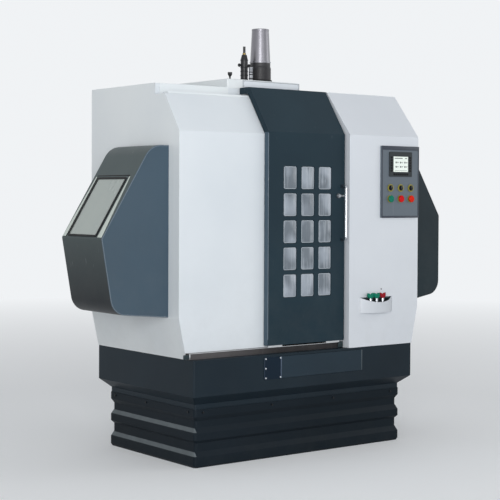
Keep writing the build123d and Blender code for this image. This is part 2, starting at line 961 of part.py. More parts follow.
# Hood: a shell round the table's end, open to the machine, with a window in its slope
def hood_shell(side, outline, heights, window_low, window_high):
    points = [(side * side_x, hood_top)]
    points += [(x, z) for (x, _), z in zip(outline, heights)]
    points += [(side * side_x, hood_bottom)]
    radii = [radius for _, radius in outline]
    top_x, top_z = points[1]
    knuckle_x, knuckle_z = points[2]
    slope = (top_x - knuckle_x) / (top_z - knuckle_z)
    middle_z = (window_low + window_high) / 2
    middle_x = top_x + slope * (middle_z - top_z)
    middle_y = -hood_front + hood_window_front + hood_window_width / 2
    across = Vector(top_x - knuckle_x, 0, top_z - knuckle_z).normalized()
    outward = Vector(0, 1, 0).cross(across) * side
    face = Plane(origin=(middle_x, middle_y, middle_z), x_dir=(0, 1, 0), z_dir=outward)
    length = (window_high - window_low) * hypot(1, slope)
    hole_width = hood_window_width - gasket_width
    hole_length = length - gasket_width

    with BuildPart() as hood:
        with BuildSketch(Plane.XZ.offset(-hood_back)):
            with BuildLine():
                FilletPolyline(*points, radius=radii)
                Line(points[-1], points[0])
            make_face()
        extrude(amount=hood_front + hood_back)
        with BuildSketch(Plane.XZ.offset(-hood_back + hood_wall)):
            with BuildLine():
                FilletPolyline(*points, radius=radii)
                Line(points[-1], points[0])
            make_face()
            offset(amount=-hood_wall)
        extrude(amount=hood_front + hood_back - 2 * hood_wall, mode=Mode.SUBTRACT)
        with BuildSketch(Plane.YZ.offset(side * side_x)):
            with Locations(((hood_back - hood_front) / 2, (hood_top + hood_bottom) / 2)):
                Rectangle(
                    hood_front + hood_back - 2 * hood_flange,
                    hood_top - hood_bottom - 2 * hood_flange,
                )
        extrude(amount=side * 2 * hood_wall, mode=Mode.SUBTRACT)
        with BuildSketch(face):
            RectangleRounded(hole_width, hole_length, hood_window_corner - gasket_width / 2)
        extrude(amount=2 * hood_wall, both=True, mode=Mode.SUBTRACT)

    with BuildPart() as gasket:
        with BuildSketch(face):
            RectangleRounded(hood_window_width, length, hood_window_corner)
            RectangleRounded(
                hood_window_width - 2 * gasket_width,
                length - 2 * gasket_width,
                hood_window_corner / 2,
                mode=Mode.SUBTRACT,
            )
        extrude(amount=gasket_height)

    with BuildPart() as glass:
        with BuildSketch(face):
            RectangleRounded(
                hole_width - 2 * hood_glass_gap,
                hole_length - 2 * hood_glass_gap,
                hood_window_corner / 2,
            )
        extrude(amount=-hood_wall)
    return hood, gasket, glass


left_hood, left_hood_gasket, left_hood_glass = hood_shell(
    -1,
    left_hood_outline,
    left_hood_heights,
    left_knee + left_window_sill,
    hood_top - left_window_drop,
)
left_hood.part.label = "left_hood"
export_step(left_hood.part, "parts/left_hood.step")
left_hood_gasket.part.label = "left_hood_gasket"
export_step(left_hood_gasket.part, "parts/left_hood_gasket.step")
left_hood_glass.part.label = "left_hood_glass"
export_step(left_hood_glass.part, "parts/left_hood_glass.step")

right_hood, right_hood_gasket, right_hood_glass = hood_shell(
    1,
    right_hood_outline,
    right_hood_heights,
    right_knee + right_window_sill,
    hood_top - right_window_drop,
)
right_hood.part.label = "right_hood"
export_step(right_hood.part, "parts/right_hood.step")
right_hood_gasket.part.label = "right_hood_gasket"
export_step(right_hood_gasket.part, "parts/right_hood_gasket.step")
right_hood_glass.part.label = "right_hood_glass"
export_step(right_hood_glass.part, "parts/right_hood_glass.step")

# Sliding door: a folded front with side flanges that hook back over the upper rail
door_middle = (door_left + door_right) / 2
flange_top = door_height - header_drop
slope_run = (ledge_y - panel_front) / (ledge_height - fold_height)
flange_fold = moved_in(panel_line[:3], -door_gap)[1]
hook_corner = flange_fold[0] + slope_run * (flange_top - flange_fold[1])
grid_width = (pane_columns - 1) * pane_pitch_x + pane_width
grid_height = (pane_rows - 1) * pane_pitch_z + pane_height
grid_z = pane_top_row - (pane_rows - 1) * pane_pitch_z / 2
frame_back = door_front + door_sheet + pane_frame_depth
glass_width = grid_width + 2 * glass_lap
glass_height = grid_height + 2 * glass_lap
roller_z = track_top + track_gap + roller_groove_diameter / 2
roller_places = [door_middle - roller_offset, door_middle + roller_offset]
hanger_back = track_y - roller_width / 2 - roller_side_gap
axle_end = track_y + roller_width / 2 + roller_side_gap

with BuildPart() as door_panel:
    add(folded_sheet(door_line, door_sheet, door_left, door_right, bend))
    for flange_x in (door_left, door_right - door_sheet):
        with BuildSketch(Plane.YZ.offset(flange_x)):
            with BuildLine():
                FilletPolyline(*door_line, radius=bend)
                Line((-header_back, door_height), (-header_back, flange_top))
                FilletPolyline(
                    (-header_back, flange_top),
                    (hook_corner, flange_top),
                    flange_fold,
                    (door_back, door_bottom),
                    radius=[header_round, bend],
                )
                Line((door_back, door_bottom), (door_front, door_bottom))
            make_face()
        extrude(amount=door_sheet)
    with BuildSketch(Plane.XY.offset(door_bottom)):
        with Locations((door_middle, (door_front + door_back) / 2)):
            Rectangle(door_right - door_left, door_back - door_front)
    extrude(amount=door_sheet)
    with BuildSketch(Plane.XZ.offset(-door_front - door_sheet)):
        with Locations((pane_grid_x, grid_z)):
            Rectangle(grid_width + 2 * pane_margin, grid_height + 2 * pane_margin)
    extrude(amount=-pane_frame_depth)
    with BuildSketch(Plane.XZ.offset(-frame_back)):
        with Locations((pane_grid_x, grid_z)):
            Rectangle(grid_width + 2 * pane_margin, grid_height + 2 * pane_margin)
            Rectangle(
                glass_width + 2 * glass_groove,
                glass_height + 2 * glass_groove,
                mode=Mode.SUBTRACT,
            )
    extrude(amount=-glass_thickness - door_sheet)
    with BuildSketch(Plane.XZ.offset(-door_front)):
        with Locations((pane_grid_x, grid_z)):
            with GridLocations(pane_pitch_x, pane_pitch_z, pane_columns, pane_rows):
                RectangleRounded(pane_width, pane_height, pane_corner)
    extrude(amount=-door_sheet - pane_frame_depth, mode=Mode.SUBTRACT)
    with BuildSketch(Plane.XZ.offset(-door_front)):
        with Locations((latch_x, latch_z)):
            Circle(latch_pin_diameter / 2 + running_clearance)
    extrude(amount=-door_sheet, mode=Mode.SUBTRACT)
    with BuildSketch(Plane.XZ.offset(-hanger_back)):
        with Locations(*[(x, (door_height + roller_z - hanger_foot) / 2) for x in roller_places]):
            Rectangle(hanger_width, door_height - roller_z + hanger_foot - door_sheet)
    extrude(amount=hanger_thickness)
    with BuildSketch(Plane.XZ.offset(-hanger_back)):
        with Locations(*[(x, roller_z) for x in roller_places]):
            Circle(axle_diameter / 2)
    extrude(amount=hanger_back - axle_end)
    with BuildSketch(Plane.XZ.offset(-axle_end)):
        with Locations(*[(x, roller_z) for x in roller_places]):
            Circle(axle_head_diameter / 2)
    extrude(amount=-axle_head)
door_panel.part.label = "door_panel"
export_step(door_panel.part, "parts/door_panel.step")

# Glass behind the window grid
with BuildPart() as door_glass:
    with BuildSketch(Plane.XZ.offset(-frame_back)):
        with Locations((pane_grid_x, grid_z)):
            Rectangle(glass_width, glass_height)
    extrude(amount=-glass_thickness)
door_glass.part.label = "door_glass"
export_step(door_glass.part, "parts/door_glass.step")

# Door handle: a bent round bar on two feet
with BuildPart() as door_handle:
    with BuildLine(Plane.YZ.offset(handle_x)) as handle_path:
        FilletPolyline(
            (door_front, handle_low),
            (door_front - handle_reach, handle_low),
            (door_front - handle_reach, handle_high),
            (door_front, handle_high),
            radius=handle_bend,
        )
    with BuildSketch(Plane.XZ.offset(-door_front)):
        with Locations((handle_x, handle_low)):
            Circle(handle_diameter / 2)
    sweep(path=handle_path.line)
    with BuildSketch(Plane.XZ.offset(-door_front)):
        with Locations((handle_x, handle_low), (handle_x, handle_high)):
            Circle(handle_foot_diameter / 2)
    extrude(amount=handle_foot)
door_handle.part.label = "door_handle"
export_step(door_handle.part, "parts/door_handle.step")

# Guide blocks under the door, with tongues in the sill's groove
with BuildPart() as door_guides:
    with BuildSketch(Plane.XY.offset(sill_top + guide_clearance)):
        with Locations(*[(x, (door_front + door_back) / 2) for x in guide_places]):
            Rectangle(guide_length, door_back - door_front - 2 * door_sheet)
    extrude(amount=door_bottom - sill_top - guide_clearance)
    with BuildSketch(Plane.XY.offset(sill_top - guide_groove_depth + guide_clearance)):
        with Locations(*[(x, groove_y) for x in guide_places]):
            Rectangle(guide_length, guide_groove_width - 2 * guide_clearance)
    extrude(amount=guide_groove_depth)
door_guides.part.label = "door_guides"
export_step(door_guides.part, "parts/door_guides.step")


# Grooved roller on its axle
def door_roller(x):
    half = roller_width / 2
    rim = roller_diameter / 2
    root = roller_groove_diameter / 2
    profile = [
        (-half, axle_diameter / 2 + axle_clearance),
        (half, axle_diameter / 2 + axle_clearance),
        (half, rim),
        (half - roller_rim, rim),
        (roller_root_width / 2, root),
        (-roller_root_width / 2, root),
        (roller_rim - half, rim),
        (-half, rim),
    ]
    with BuildPart() as roller:
        with BuildSketch(Plane.YZ.offset(x)):
            with BuildLine():
                Polyline(*[(track_y + y, roller_z + r) for y, r in profile], close=True)
            make_face()
        revolve(axis=Axis((x, track_y, roller_z), (0, 1, 0)))
    return roller.part


for name, x in zip(("door_roller_left", "door_roller_right"), roller_places):
    roller_part = door_roller(x)
    roller_part.label = name
    export_step(roller_part, f"parts/{name}.step")

# Door latch: a turning lever with a pin through the sheet and a cam behind it
latch_face = door_front - seam

with BuildPart() as door_latch:
    with BuildSketch(Plane.XZ.offset(-latch_face)):
        with Locations((latch_x, latch_z)):
            Circle(latch_diameter / 2)
    extrude(amount=latch_boss)
    with BuildSketch(Plane.XZ.offset(-latch_face + latch_boss)):
        with Locations((latch_x + latch_lever / 2, latch_z)):
            Rectangle(latch_lever, latch_lever_width)
        with Locations((latch_x, latch_z)):
            Circle(latch_lever_width)
    extrude(amount=latch_lever_thickness)
    with BuildSketch(Plane.XZ.offset(-latch_face + latch_boss - 2)):
        with Locations((latch_x + latch_lever, latch_z)):
            Circle(latch_knob_diameter / 2)
    extrude(amount=latch_knob_height)
    with BuildSketch(Plane.XZ.offset(-latch_face)):
        with Locations((latch_x, latch_z)):
            Circle(latch_pin_diameter / 2)
    extrude(amount=-latch_pin_length)
    with BuildSketch(Plane.XZ.offset(-latch_face - latch_pin_length)):
        with Locations((latch_x + latch_cam / 2 - latch_lever_width, latch_z)):
            Rectangle(latch_cam, latch_lever_width + latch_lever_thickness)
    extrude(amount=latch_cam_thickness)
door_latch.part.label = "door_latch"
export_step(door_latch.part, "parts/door_latch.step")

# Control box with bores for its three selectors and three buttons
control_face = tray_front - control_depth
selector_row = control_bottom + selector_rise
button_row = control_bottom + button_rise
screen_left = control_left + screen_inset
screen_right = screen_left + screen_width
screen_bottom = control_bottom + screen_rise
screen_top = screen_bottom + screen_height
screen_window_left = screen_left + screen_left_border
screen_window_right = screen_right - screen_right_border
screen_window_bottom = screen_bottom + screen_foot_border
screen_window_top = screen_top - screen_head_border
switch_places = [control_centre - switch_pitch, control_centre, control_centre + switch_pitch]
control_middle_z = (control_bottom + control_top) / 2

with BuildPart() as control_box:
    with BuildSketch(Plane.XZ.offset(-tray_front)):
        with Locations((control_centre, control_middle_z)):
            RectangleRounded(control_right - control_left, control_top - control_bottom, bend)
    extrude(amount=control_depth + control_rim_height)
    with BuildSketch(Plane.XZ.offset(-control_face)):
        with Locations((control_centre, control_middle_z)):
            RectangleRounded(
                control_right - control_left - 2 * control_rim,
                control_top - control_bottom - 2 * control_rim,
                bend / 2,
            )
    extrude(amount=control_rim_height, mode=Mode.SUBTRACT)
    with BuildSketch(Plane.XZ.offset(-tray_front)):
        for row in (selector_row, button_row):
            with Locations(*[(x, row) for x in switch_places]):
                Circle(switch_stem / 2 + running_clearance)
    extrude(amount=control_depth, mode=Mode.SUBTRACT)
control_box.part.label = "control_box"
export_step(control_box.part, "parts/control_box.step")

# Screen unit: a bezel with a recessed screen
with BuildPart() as screen_unit:
    with BuildSketch(Plane.XZ.offset(-control_face)):
        with Locations(((screen_left + screen_right) / 2, (screen_bottom + screen_top) / 2)):
            RectangleRounded(screen_right - screen_left, screen_top - screen_bottom, bend)
    extrude(amount=screen_bezel_height)
    with BuildSketch(Plane.XZ.offset(-control_face + screen_bezel_height)):
        with Locations(
            (
                (screen_window_left + screen_window_right) / 2,
                (screen_window_bottom + screen_window_top) / 2,
            )
        ):
            Rectangle(
                screen_window_right - screen_window_left,
                screen_window_top - screen_window_bottom,
            )
    extrude(amount=-screen_recess, mode=Mode.SUBTRACT)
screen_unit.part.label = "screen_unit"
export_step(screen_unit.part, "parts/screen_unit.step")

# Collars round the selectors and under the buttons
with BuildPart() as switch_collars:
    for row, height in ((selector_row, collar_height), (button_row, button_collar_height)):
        with BuildSketch(Plane.XZ.offset(-control_face)):
            with Locations(*[(x, row) for x in switch_places]):
                Circle(collar_diameter / 2)
                Circle(collar_bore / 2, mode=Mode.SUBTRACT)
        extrude(amount=height)
switch_collars.part.label = "switch_collars"
export_step(switch_collars.part, "parts/switch_collars.step")


# Switch stem through the control box, with a retaining disc behind
def switch_shaft(x, z, front):
    with BuildPart() as shaft:
        with BuildSketch(Plane.XZ.offset(-tray_front - switch_tail)):
            with Locations((x, z)):
                Circle(switch_stem / 2)
        extrude(amount=tray_front + switch_tail - front)
        with BuildSketch(Plane.XZ.offset(-tray_front - switch_tail)):
            with Locations((x, z)):
                Circle(switch_disc / 2)
        extrude(amount=switch_tail - seam)
    return shaft.part


# Turning selector with a raised grip
def selector(x):
    base = control_face - seam
    with BuildPart() as knob:
        with BuildSketch(Plane.XZ.offset(-base)):
            with Locations((x, selector_row)):
                Circle(selector_diameter / 2)
        extrude(amount=selector_height / 2)
        with BuildSketch(Plane.XZ.offset(-base)):
            with Locations((x, selector_row)):
                Circle(selector_diameter / 2)
                Rectangle(selector_grip_width, selector_diameter, mode=Mode.INTERSECT)
        extrude(amount=selector_height)
        add(switch_shaft(x, selector_row, base))
    return knob.part


# Pressed button with a mushroom cap
def button(x):
    base = control_face - button_collar_height - button_travel - 2 * seam
    with BuildPart() as cap:
        with BuildSketch(Plane.XZ.offset(-base)):
            with Locations((x, button_row)):
                Circle(button_diameter / 2)
        extrude(amount=button_height)
        chamfer(cap.edges().group_by(Axis.Y)[0], button_round)
        add(switch_shaft(x, button_row, base))
    return cap.part


for name, x in zip(("selector_1", "selector_2", "selector_3"), switch_places):
    selector_part = selector(x)
    selector_part.label = name
    export_step(selector_part, f"parts/{name}.step")

for name, x in zip(("button_green", "button_red", "button_orange"), switch_places):
    button_part = button(x)
    button_part.label = name
    export_step(button_part, f"parts/{name}.step")

# Valve pocket: a bulged scoop on the control section, with a recess behind it
pocket_wall = sheet
pocket_mid_z = (pocket_bottom + pocket_back_height) / 2
recess_width = pocket_right - pocket_left - 4 * sheet - 2 * seam
recess_height = pocket_back_height - pocket_bottom - 4 * sheet - 2 * seam


# The scoop's outline in plan, drawn inwards by an inset
def pocket_outline(height, bulge, inset):
    with BuildSketch(Plane.XY.offset(height)) as outline:
        with BuildLine():
            ThreePointArc(
                (pocket_left + 2 * inset, tray_front),
                (pocket_middle, tray_front - bulge + inset),
                (pocket_right - 2 * inset, tray_front),
            )
            Line((pocket_right - 2 * inset, tray_front), (pocket_left + 2 * inset, tray_front))
        make_face()
    return outline.sketch


with BuildPart() as valve_pocket:
    add(pocket_outline(pocket_bottom, pocket_low_bulge, 0))
    add(pocket_outline(pocket_back_height, pocket_bulge, 0))
    loft(ruled=True)
    add(pocket_outline(pocket_bottom + pocket_wall, pocket_low_bulge, pocket_wall))
    add(pocket_outline(pocket_back_height, pocket_bulge, pocket_wall))
    loft(ruled=True, mode=Mode.SUBTRACT)
    with BuildSketch(Plane.XZ.offset(-tray_front)):
        with Locations((pocket_middle, pocket_mid_z)):
            Rectangle(pocket_right - pocket_left - 2 * pocket_wall, pocket_back_height - pocket_bottom)
    extrude(amount=pocket_wall)
    with BuildSketch(Plane.XZ.offset(-tray_front - pocket_recess)):
        with Locations((pocket_middle, pocket_mid_z)):
            Rectangle(recess_width, recess_height)
    extrude(amount=pocket_recess + pocket_wall)
    with BuildSketch(Plane.XZ.offset(-tray_front - pocket_recess + pocket_wall)):
        with Locations((pocket_middle, pocket_mid_z)):
            Rectangle(recess_width - 2 * pocket_wall, recess_height - 2 * pocket_wall)
    extrude(amount=pocket_recess, mode=Mode.SUBTRACT)
    with BuildSketch(Plane.YZ.offset(pocket_left)):
        with BuildLine():
            Polyline(
                (tray_front, pocket_back_height),
                (tray_front - pocket_bulge, pocket_front_height),
                (tray_front - 2 * pocket_bulge, pocket_front_height),
                (tray_front - 2 * pocket_bulge, pocket_back_height),
                close=True,
            )
        make_face()
    extrude(amount=pocket_right - pocket_left, mode=Mode.SUBTRACT)
valve_pocket.part.label = "valve_pocket"
export_step(valve_pocket.part, "parts/valve_pocket.step")

# Three small valves on one manifold
valve_y = tray_front - valve_offset
valve_centre = pocket_middle + valve_shift
valve_pipe_height = pocket_bottom + valve_pipe_rise
valve_handle_base = pocket_back_height - valve_handle_sink
valve_places = [valve_centre - valve_pitch, valve_centre, valve_centre + valve_pitch]
manifold_y = tray_front + pocket_recess - pocket_wall - manifold_diameter / 2
valve_top = valve_handle_base - valve_handle_gap

with BuildPart() as valve_bodies:
    with BuildSketch(Plane.XY.offset(valve_top - valve_body_height)):
        with Locations(*[(x, valve_y) for x in valve_places]):
            Circle(valve_body_diameter / 2)
    extrude(amount=valve_body_height)
    with BuildSketch(Plane.XY.offset(valve_top)):
        with Locations(*[(x, valve_y) for x in valve_places]):
            Circle(valve_stem_diameter / 2)
    extrude(amount=valve_stem_height)
    with BuildSketch(Plane.XZ.offset(-manifold_y)):
        with Locations(*[(x, valve_pipe_height) for x in valve_places]):
            Circle(valve_pipe_diameter / 2)
    extrude(amount=manifold_y - valve_y)
    with BuildSketch(Plane.YZ.offset(valve_places[0] - valve_body_diameter)):
        with Locations((manifold_y, valve_pipe_height)):
            Circle(manifold_diameter / 2)
    extrude(amount=2 * (valve_pitch + valve_body_diameter))
valve_bodies.part.label = "valve_bodies"
export_step(valve_bodies.part, "parts/valve_bodies.step")


# Butterfly handle on a valve's stem
def valve_handle(x):
    half = valve_handle_width / 2
    hub = valve_hub_diameter / 2
    top = valve_handle_base + valve_handle_height
    wing = [
        (x - half, top),
        (x - hub, top - valve_wing_dip),
        (x + hub, top - valve_wing_dip),
        (x + half, top),
        (x + half, valve_handle_base + valve_wing_rise),
        (x + hub, valve_handle_base),
        (x - hub, valve_handle_base),
        (x - half, valve_handle_base + valve_wing_rise),
    ]
    with BuildPart() as handle:
        with BuildSketch(Plane.XZ.offset(-valve_y - valve_handle_thickness / 2)):
            with BuildLine():
                Polyline(*wing, close=True)
            make_face()
        extrude(amount=valve_handle_thickness)
        with BuildSketch(Plane.XY.offset(valve_handle_base)):
            with Locations((x, valve_y)):
                Circle(hub)
        extrude(amount=valve_handle_height - valve_wing_dip)
        with BuildSketch(Plane.XY.offset(valve_handle_base)):
            with Locations((x, valve_y)):
                Circle(valve_stem_diameter / 2 + running_clearance)
        extrude(amount=valve_stem_height, mode=Mode.SUBTRACT)
    return handle.part


for name, x in zip(("valve_handle_1", "valve_handle_2", "valve_handle_3"), valve_places):
    handle_part = valve_handle(x)
    handle_part.label = name
    export_step(handle_part, f"parts/{name}.step")

# Base casting with the bearing blocks of the Y screw
base_pocket = base_width / 2 - 1.5 * casting_wall
y_screw_height = base_deck_height + y_screw_rise

with BuildPart() as base_casting:
    with BuildSketch(Plane.YZ.offset(-base_width / 2)):
        with BuildLine():
            Polyline(
                (-base_front, base_deck_height),
                (-base_front, base_deck_height - base_nose),
                (-base_foot_front, base_deck_height - 3 * base_nose),
                (-base_foot_front, tray_floor_height),
                (base_back, tray_floor_height),
                (base_back, base_deck_height),
                close=True,
            )
        make_face()
    extrude(amount=base_width)
    with BuildSketch(Plane.XY.offset(tray_floor_height)):
        with Locations((0, (base_back - base_foot_front) / 2)):
            with GridLocations(base_pocket + casting_wall, 0, 2, 1):
                Rectangle(base_pocket, base_back + base_foot_front - 2 * casting_wall)
    extrude(amount=base_deck_height - tray_floor_height - base_nose, mode=Mode.SUBTRACT)
    with BuildSketch(Plane.XZ.offset(base_front - bearing_block)):
        with Locations((0, y_screw_height)):
            Rectangle(motor_side, motor_side)
    extrude(amount=bearing_block)
    with BuildSketch(Plane.XZ.offset(-y_bearing_back)):
        with Locations((0, y_screw_height)):
            Rectangle(bearing_width, 2 * (y_screw_height - base_deck_height) + bearing_crown)
    extrude(amount=bearing_block)
    with BuildSketch(Plane.XZ.offset(-y_bearing_back)):
        with Locations((0, y_screw_height)):
            Circle(journal_diameter / 2 + running_clearance)
    extrude(amount=y_bearing_back + base_front, mode=Mode.SUBTRACT)
base_casting.part.label = "base_casting"
export_step(base_casting.part, "parts/base_casting.step")

# Column with open bays at the back and bearing brackets for the Z screw
z_rail_top = column_height - z_rail_inset
z_rail_bottom = z_rail_top - z_rail_length
z_bracket_top = column_height + z_bracket_rise
bay_width = column_width - 2 * column_wall
bay_pitch = (column_height - base_deck_height - column_flange) / column_bays
bay_height = bay_pitch - column_wall
z_bracket_front = z_screw_y - bearing_crown

with BuildPart() as column:
    with BuildSketch(Plane.YZ.offset(-column_width / 2)):
        with BuildLine():
            Polyline(
                (column_front, base_deck_height),
                (column_front, column_height),
                (column_front + column_depth_top, column_height),
                (column_front + column_depth_bottom, base_deck_height),
                close=True,
            )
        make_face()
    extrude(amount=column_width)
    with BuildSketch(Plane.XY.offset(base_deck_height)):
        with Locations((0, column_front + column_depth_bottom / 2)):
            Rectangle(column_width + 2 * column_flange_margin, column_depth_bottom)
    extrude(amount=column_flange)
    for bay in range(column_bays):
        bay_bottom = base_deck_height + column_flange + bay * bay_pitch
        with BuildSketch(Plane.XZ.offset(-column_front - 2 * column_wall)):
            with Locations((0, bay_bottom + bay_height / 2)):
                Rectangle(bay_width, bay_height)
        extrude(amount=-column_depth_bottom, mode=Mode.SUBTRACT)
    for bracket_bottom in (z_rail_bottom, z_bracket_top - bearing_block):
        with BuildSketch(Plane.XY.offset(bracket_bottom)):
            with Locations((0, (z_bracket_front + column_front) / 2)):
                Rectangle(bearing_width, column_front - z_bracket_front)
        extrude(amount=bearing_block)
    with BuildSketch(Plane.XY.offset(z_rail_bottom)):
        with Locations((0, z_screw_y)):
            Circle(journal_diameter / 2 + running_clearance)
    extrude(amount=z_bracket_top - z_rail_bottom, mode=Mode.SUBTRACT)
column.part.label = "column"
export_step(column.part, "parts/column.step")

# Guide rails on the base and the column
with BuildPart() as linear_rails:
    with BuildSketch(Plane.XY.offset(base_deck_height)):
        with Locations((0, -base_front + y_rail_length / 2 + bearing_block / 2)):
            with GridLocations(y_rail_spacing, 0, 2, 1):
                Rectangle(y_rail_width, y_rail_length)
    extrude(amount=y_rail_height)
    with BuildSketch(Plane.XZ.offset(-column_front)):
        with Locations((0, (z_rail_bottom + z_rail_top) / 2)):
            with GridLocations(z_rail_spacing, 0, 2, 1):
                Rectangle(z_rail_width, z_rail_top - z_rail_bottom)
    extrude(amount=z_rail_height)
linear_rails.part.label = "linear_rails"
export_step(linear_rails.part, "parts/linear_rails.step")


# Square motor with a flange and a round cap, built away from its mounting plane
def servo_motor(plane):
    with BuildPart() as motor:
        with BuildSketch(plane):
            RectangleRounded(motor_side, motor_side, motor_corner / 2)
        extrude(amount=motor_flange)
        with BuildSketch(plane.offset(motor_flange)):
            RectangleRounded(motor_side - motor_corner, motor_side - motor_corner, motor_corner)
        extrude(amount=motor_length - motor_flange)
        with BuildSketch(plane.offset(motor_length)):
            Circle(motor_side / 2 - motor_corner)
        extrude(amount=motor_cap)
    return motor.part


y_motor_plane = Plane(origin=(0, -base_front - seam, y_screw_height), z_dir=(0, -1, 0))
z_motor_plane = Plane(origin=(0, z_screw_y, z_bracket_top + seam), z_dir=(0, 0, 1))

with BuildPart() as axis_motors:
    add(servo_motor(y_motor_plane))
    add(servo_motor(z_motor_plane))
axis_motors.part.label = "axis_motors"
export_step(axis_motors.part, "parts/axis_motors.step")

# Saddle: slides on the Y rails and carries the box ways of the table
saddle_bottom = base_deck_height + y_rail_height + slide_depth
saddle_foot = base_deck_height + slide_depth
saddle_top = saddle_bottom + saddle_thickness
x_screw_height = saddle_top + x_screw_rise
block_length = saddle_length / 4
block_places = [
    (spindle_y - saddle_length / 2 + block_length / 2),
    (spindle_y + saddle_length / 2 - block_length / 2),
]

with BuildPart() as saddle:
    with BuildSketch(Plane.XY.offset(saddle_bottom)):
        with Locations((0, spindle_y)):
            Rectangle(saddle_width, saddle_length)
    extrude(amount=saddle_top - saddle_bottom)
    with BuildSketch(Plane.XY.offset(saddle_top)):
        with Locations((0, spindle_y)):
            with GridLocations(0, 2 * x_ways, 1, 2):
                Rectangle(saddle_width, way_width)
    extrude(amount=way_height)
    for block_y in block_places:
        with BuildSketch(Plane.XY.offset(saddle_foot)):
            with Locations((0, block_y)):
                with GridLocations(y_rail_spacing, 0, 2, 1):
                    Rectangle(block_width, block_length)
        extrude(amount=saddle_bottom - saddle_foot)
    with BuildSketch(Plane.XY.offset(saddle_foot)):
        with Locations((0, spindle_y)):
            with GridLocations(y_rail_spacing, 0, 2, 1):
                Rectangle(y_rail_width + 2 * slide_gap, saddle_length)
    extrude(amount=y_rail_height - slide_depth + slide_gap, mode=Mode.SUBTRACT)
    with BuildSketch(Plane.XY.offset(saddle_foot)):
        with Locations((0, spindle_y)):
            Rectangle(nut_width, nut_length)
    extrude(amount=saddle_bottom - saddle_foot)
    with BuildSketch(Plane.XY.offset(saddle_top)):
        with Locations((0, spindle_y)):
            Rectangle(nut_length, nut_width)
    extrude(amount=x_screw_height - saddle_top + nut_width / 2)
    with BuildSketch(Plane.XZ.offset(-spindle_y - nut_length / 2)):
        with Locations((0, y_screw_height)):
            Circle(screw_diameter / 2 + running_clearance)
    extrude(amount=nut_length, mode=Mode.SUBTRACT)
    with BuildSketch(Plane.YZ.offset(-nut_length / 2)):
        with Locations((spindle_y, x_screw_height)):
            Circle(screw_diameter / 2 + running_clearance)
    extrude(amount=nut_length, mode=Mode.SUBTRACT)
saddle.part.label = "saddle"
export_step(saddle.part, "parts/saddle.step")

# Table with T-slots, its skirts over the ways and the end bearings of the X screw
table_bottom = saddle_top + slide_depth
table_top = saddle_top + table_rise
way_top = saddle_top + way_height
channel_top = table_top - table_plate
half_table = table_width / 2
half_channel = x_channel_width / 2
slot_places = [spindle_y + (i - (slot_count - 1) / 2) * slot_pitch for i in range(slot_count)]
table_end = table_length / 2

table_profile = [
    (-half_table, table_top),
    (half_table, table_top),
    (half_table, table_bottom),
    (half_table - table_skirt, table_bottom),
    (half_table - table_skirt, way_top + slide_gap),
    (half_channel, way_top + slide_gap),
    (half_channel, channel_top),
    (-half_channel, channel_top),
    (-half_channel, way_top + slide_gap),
    (table_skirt - half_table, way_top + slide_gap),
    (table_skirt - half_table, table_bottom),
    (-half_table, table_bottom),
]

with BuildPart() as table:
    with BuildSketch(Plane.YZ.offset(-table_end)):
        with BuildLine():
            Polyline(*[(spindle_y + y, z) for y, z in table_profile], close=True)
        make_face()
        for slot_y in slot_places:
            with Locations((slot_y, table_top - slot_neck_depth / 2)):
                Rectangle(slot_neck, slot_neck_depth, mode=Mode.SUBTRACT)
            with Locations((slot_y, table_top - slot_neck_depth - slot_tee_depth / 2)):
                Rectangle(slot_tee, slot_tee_depth, mode=Mode.SUBTRACT)
    extrude(amount=table_length)
    for end_x in (-table_end, table_end - bearing_block):
        with BuildSketch(Plane.YZ.offset(end_x)):
            with Locations((spindle_y, (way_top + slide_gap + channel_top) / 2)):
                Rectangle(x_channel_width, channel_top - way_top - slide_gap)
            with Locations((spindle_y, x_screw_height)):
                Circle(journal_diameter / 2 + running_clearance, mode=Mode.SUBTRACT)
        extrude(amount=bearing_block)
table.part.label = "table"
export_step(table.part, "parts/table.step")

x_motor_part = servo_motor(
    Plane(origin=(table_end + seam, spindle_y, x_screw_height), z_dir=(1, 0, 0))
)
x_motor_part.label = "x_motor"
export_step(x_motor_part, "parts/x_motor.step")


# Ball screw between two bearings: a thread-sized bar with turned-down ends
def ball_screw(plane, length):
    shoulder = bearing_block + seam * 4
    with BuildPart() as screw:
        with BuildSketch(plane):
            Circle(journal_diameter / 2)
        extrude(amount=length)
        with BuildSketch(plane.offset(shoulder)):
            Circle(screw_diameter / 2)
        extrude(amount=length - 2 * shoulder)
    return screw.part


x_screw_part = ball_screw(
    Plane(origin=(-table_end, spindle_y, x_screw_height), z_dir=(1, 0, 0)), table_length
)
x_screw_part.label = "x_screw"
export_step(x_screw_part, "parts/x_screw.step")

y_screw_part = ball_screw(
    Plane(origin=(0, -base_front, y_screw_height), z_dir=(0, 1, 0)), base_front + y_bearing_back
)
y_screw_part.label = "y_screw"
export_step(y_screw_part, "parts/y_screw.step")

z_screw_part = ball_screw(
    Plane(origin=(0, z_screw_y, z_rail_bottom), z_dir=(0, 0, 1)), z_bracket_top - z_rail_bottom
)
z_screw_part.label = "z_screw"
export_step(z_screw_part, "parts/z_screw.step")

# Head: slides on the Z rails, holds the spindle and the spindle motor
head_back = column_front - z_rail_height - head_back_gap
block_back = column_front - slide_depth
head_top = z_rail_top - head_drop
head_bottom = head_top - head_height
motor_body_top = head_top + motor_body_rise
motor_shoulder = motor_body_top + motor_neck
nose_bottom = head_bottom - nose_flange_height

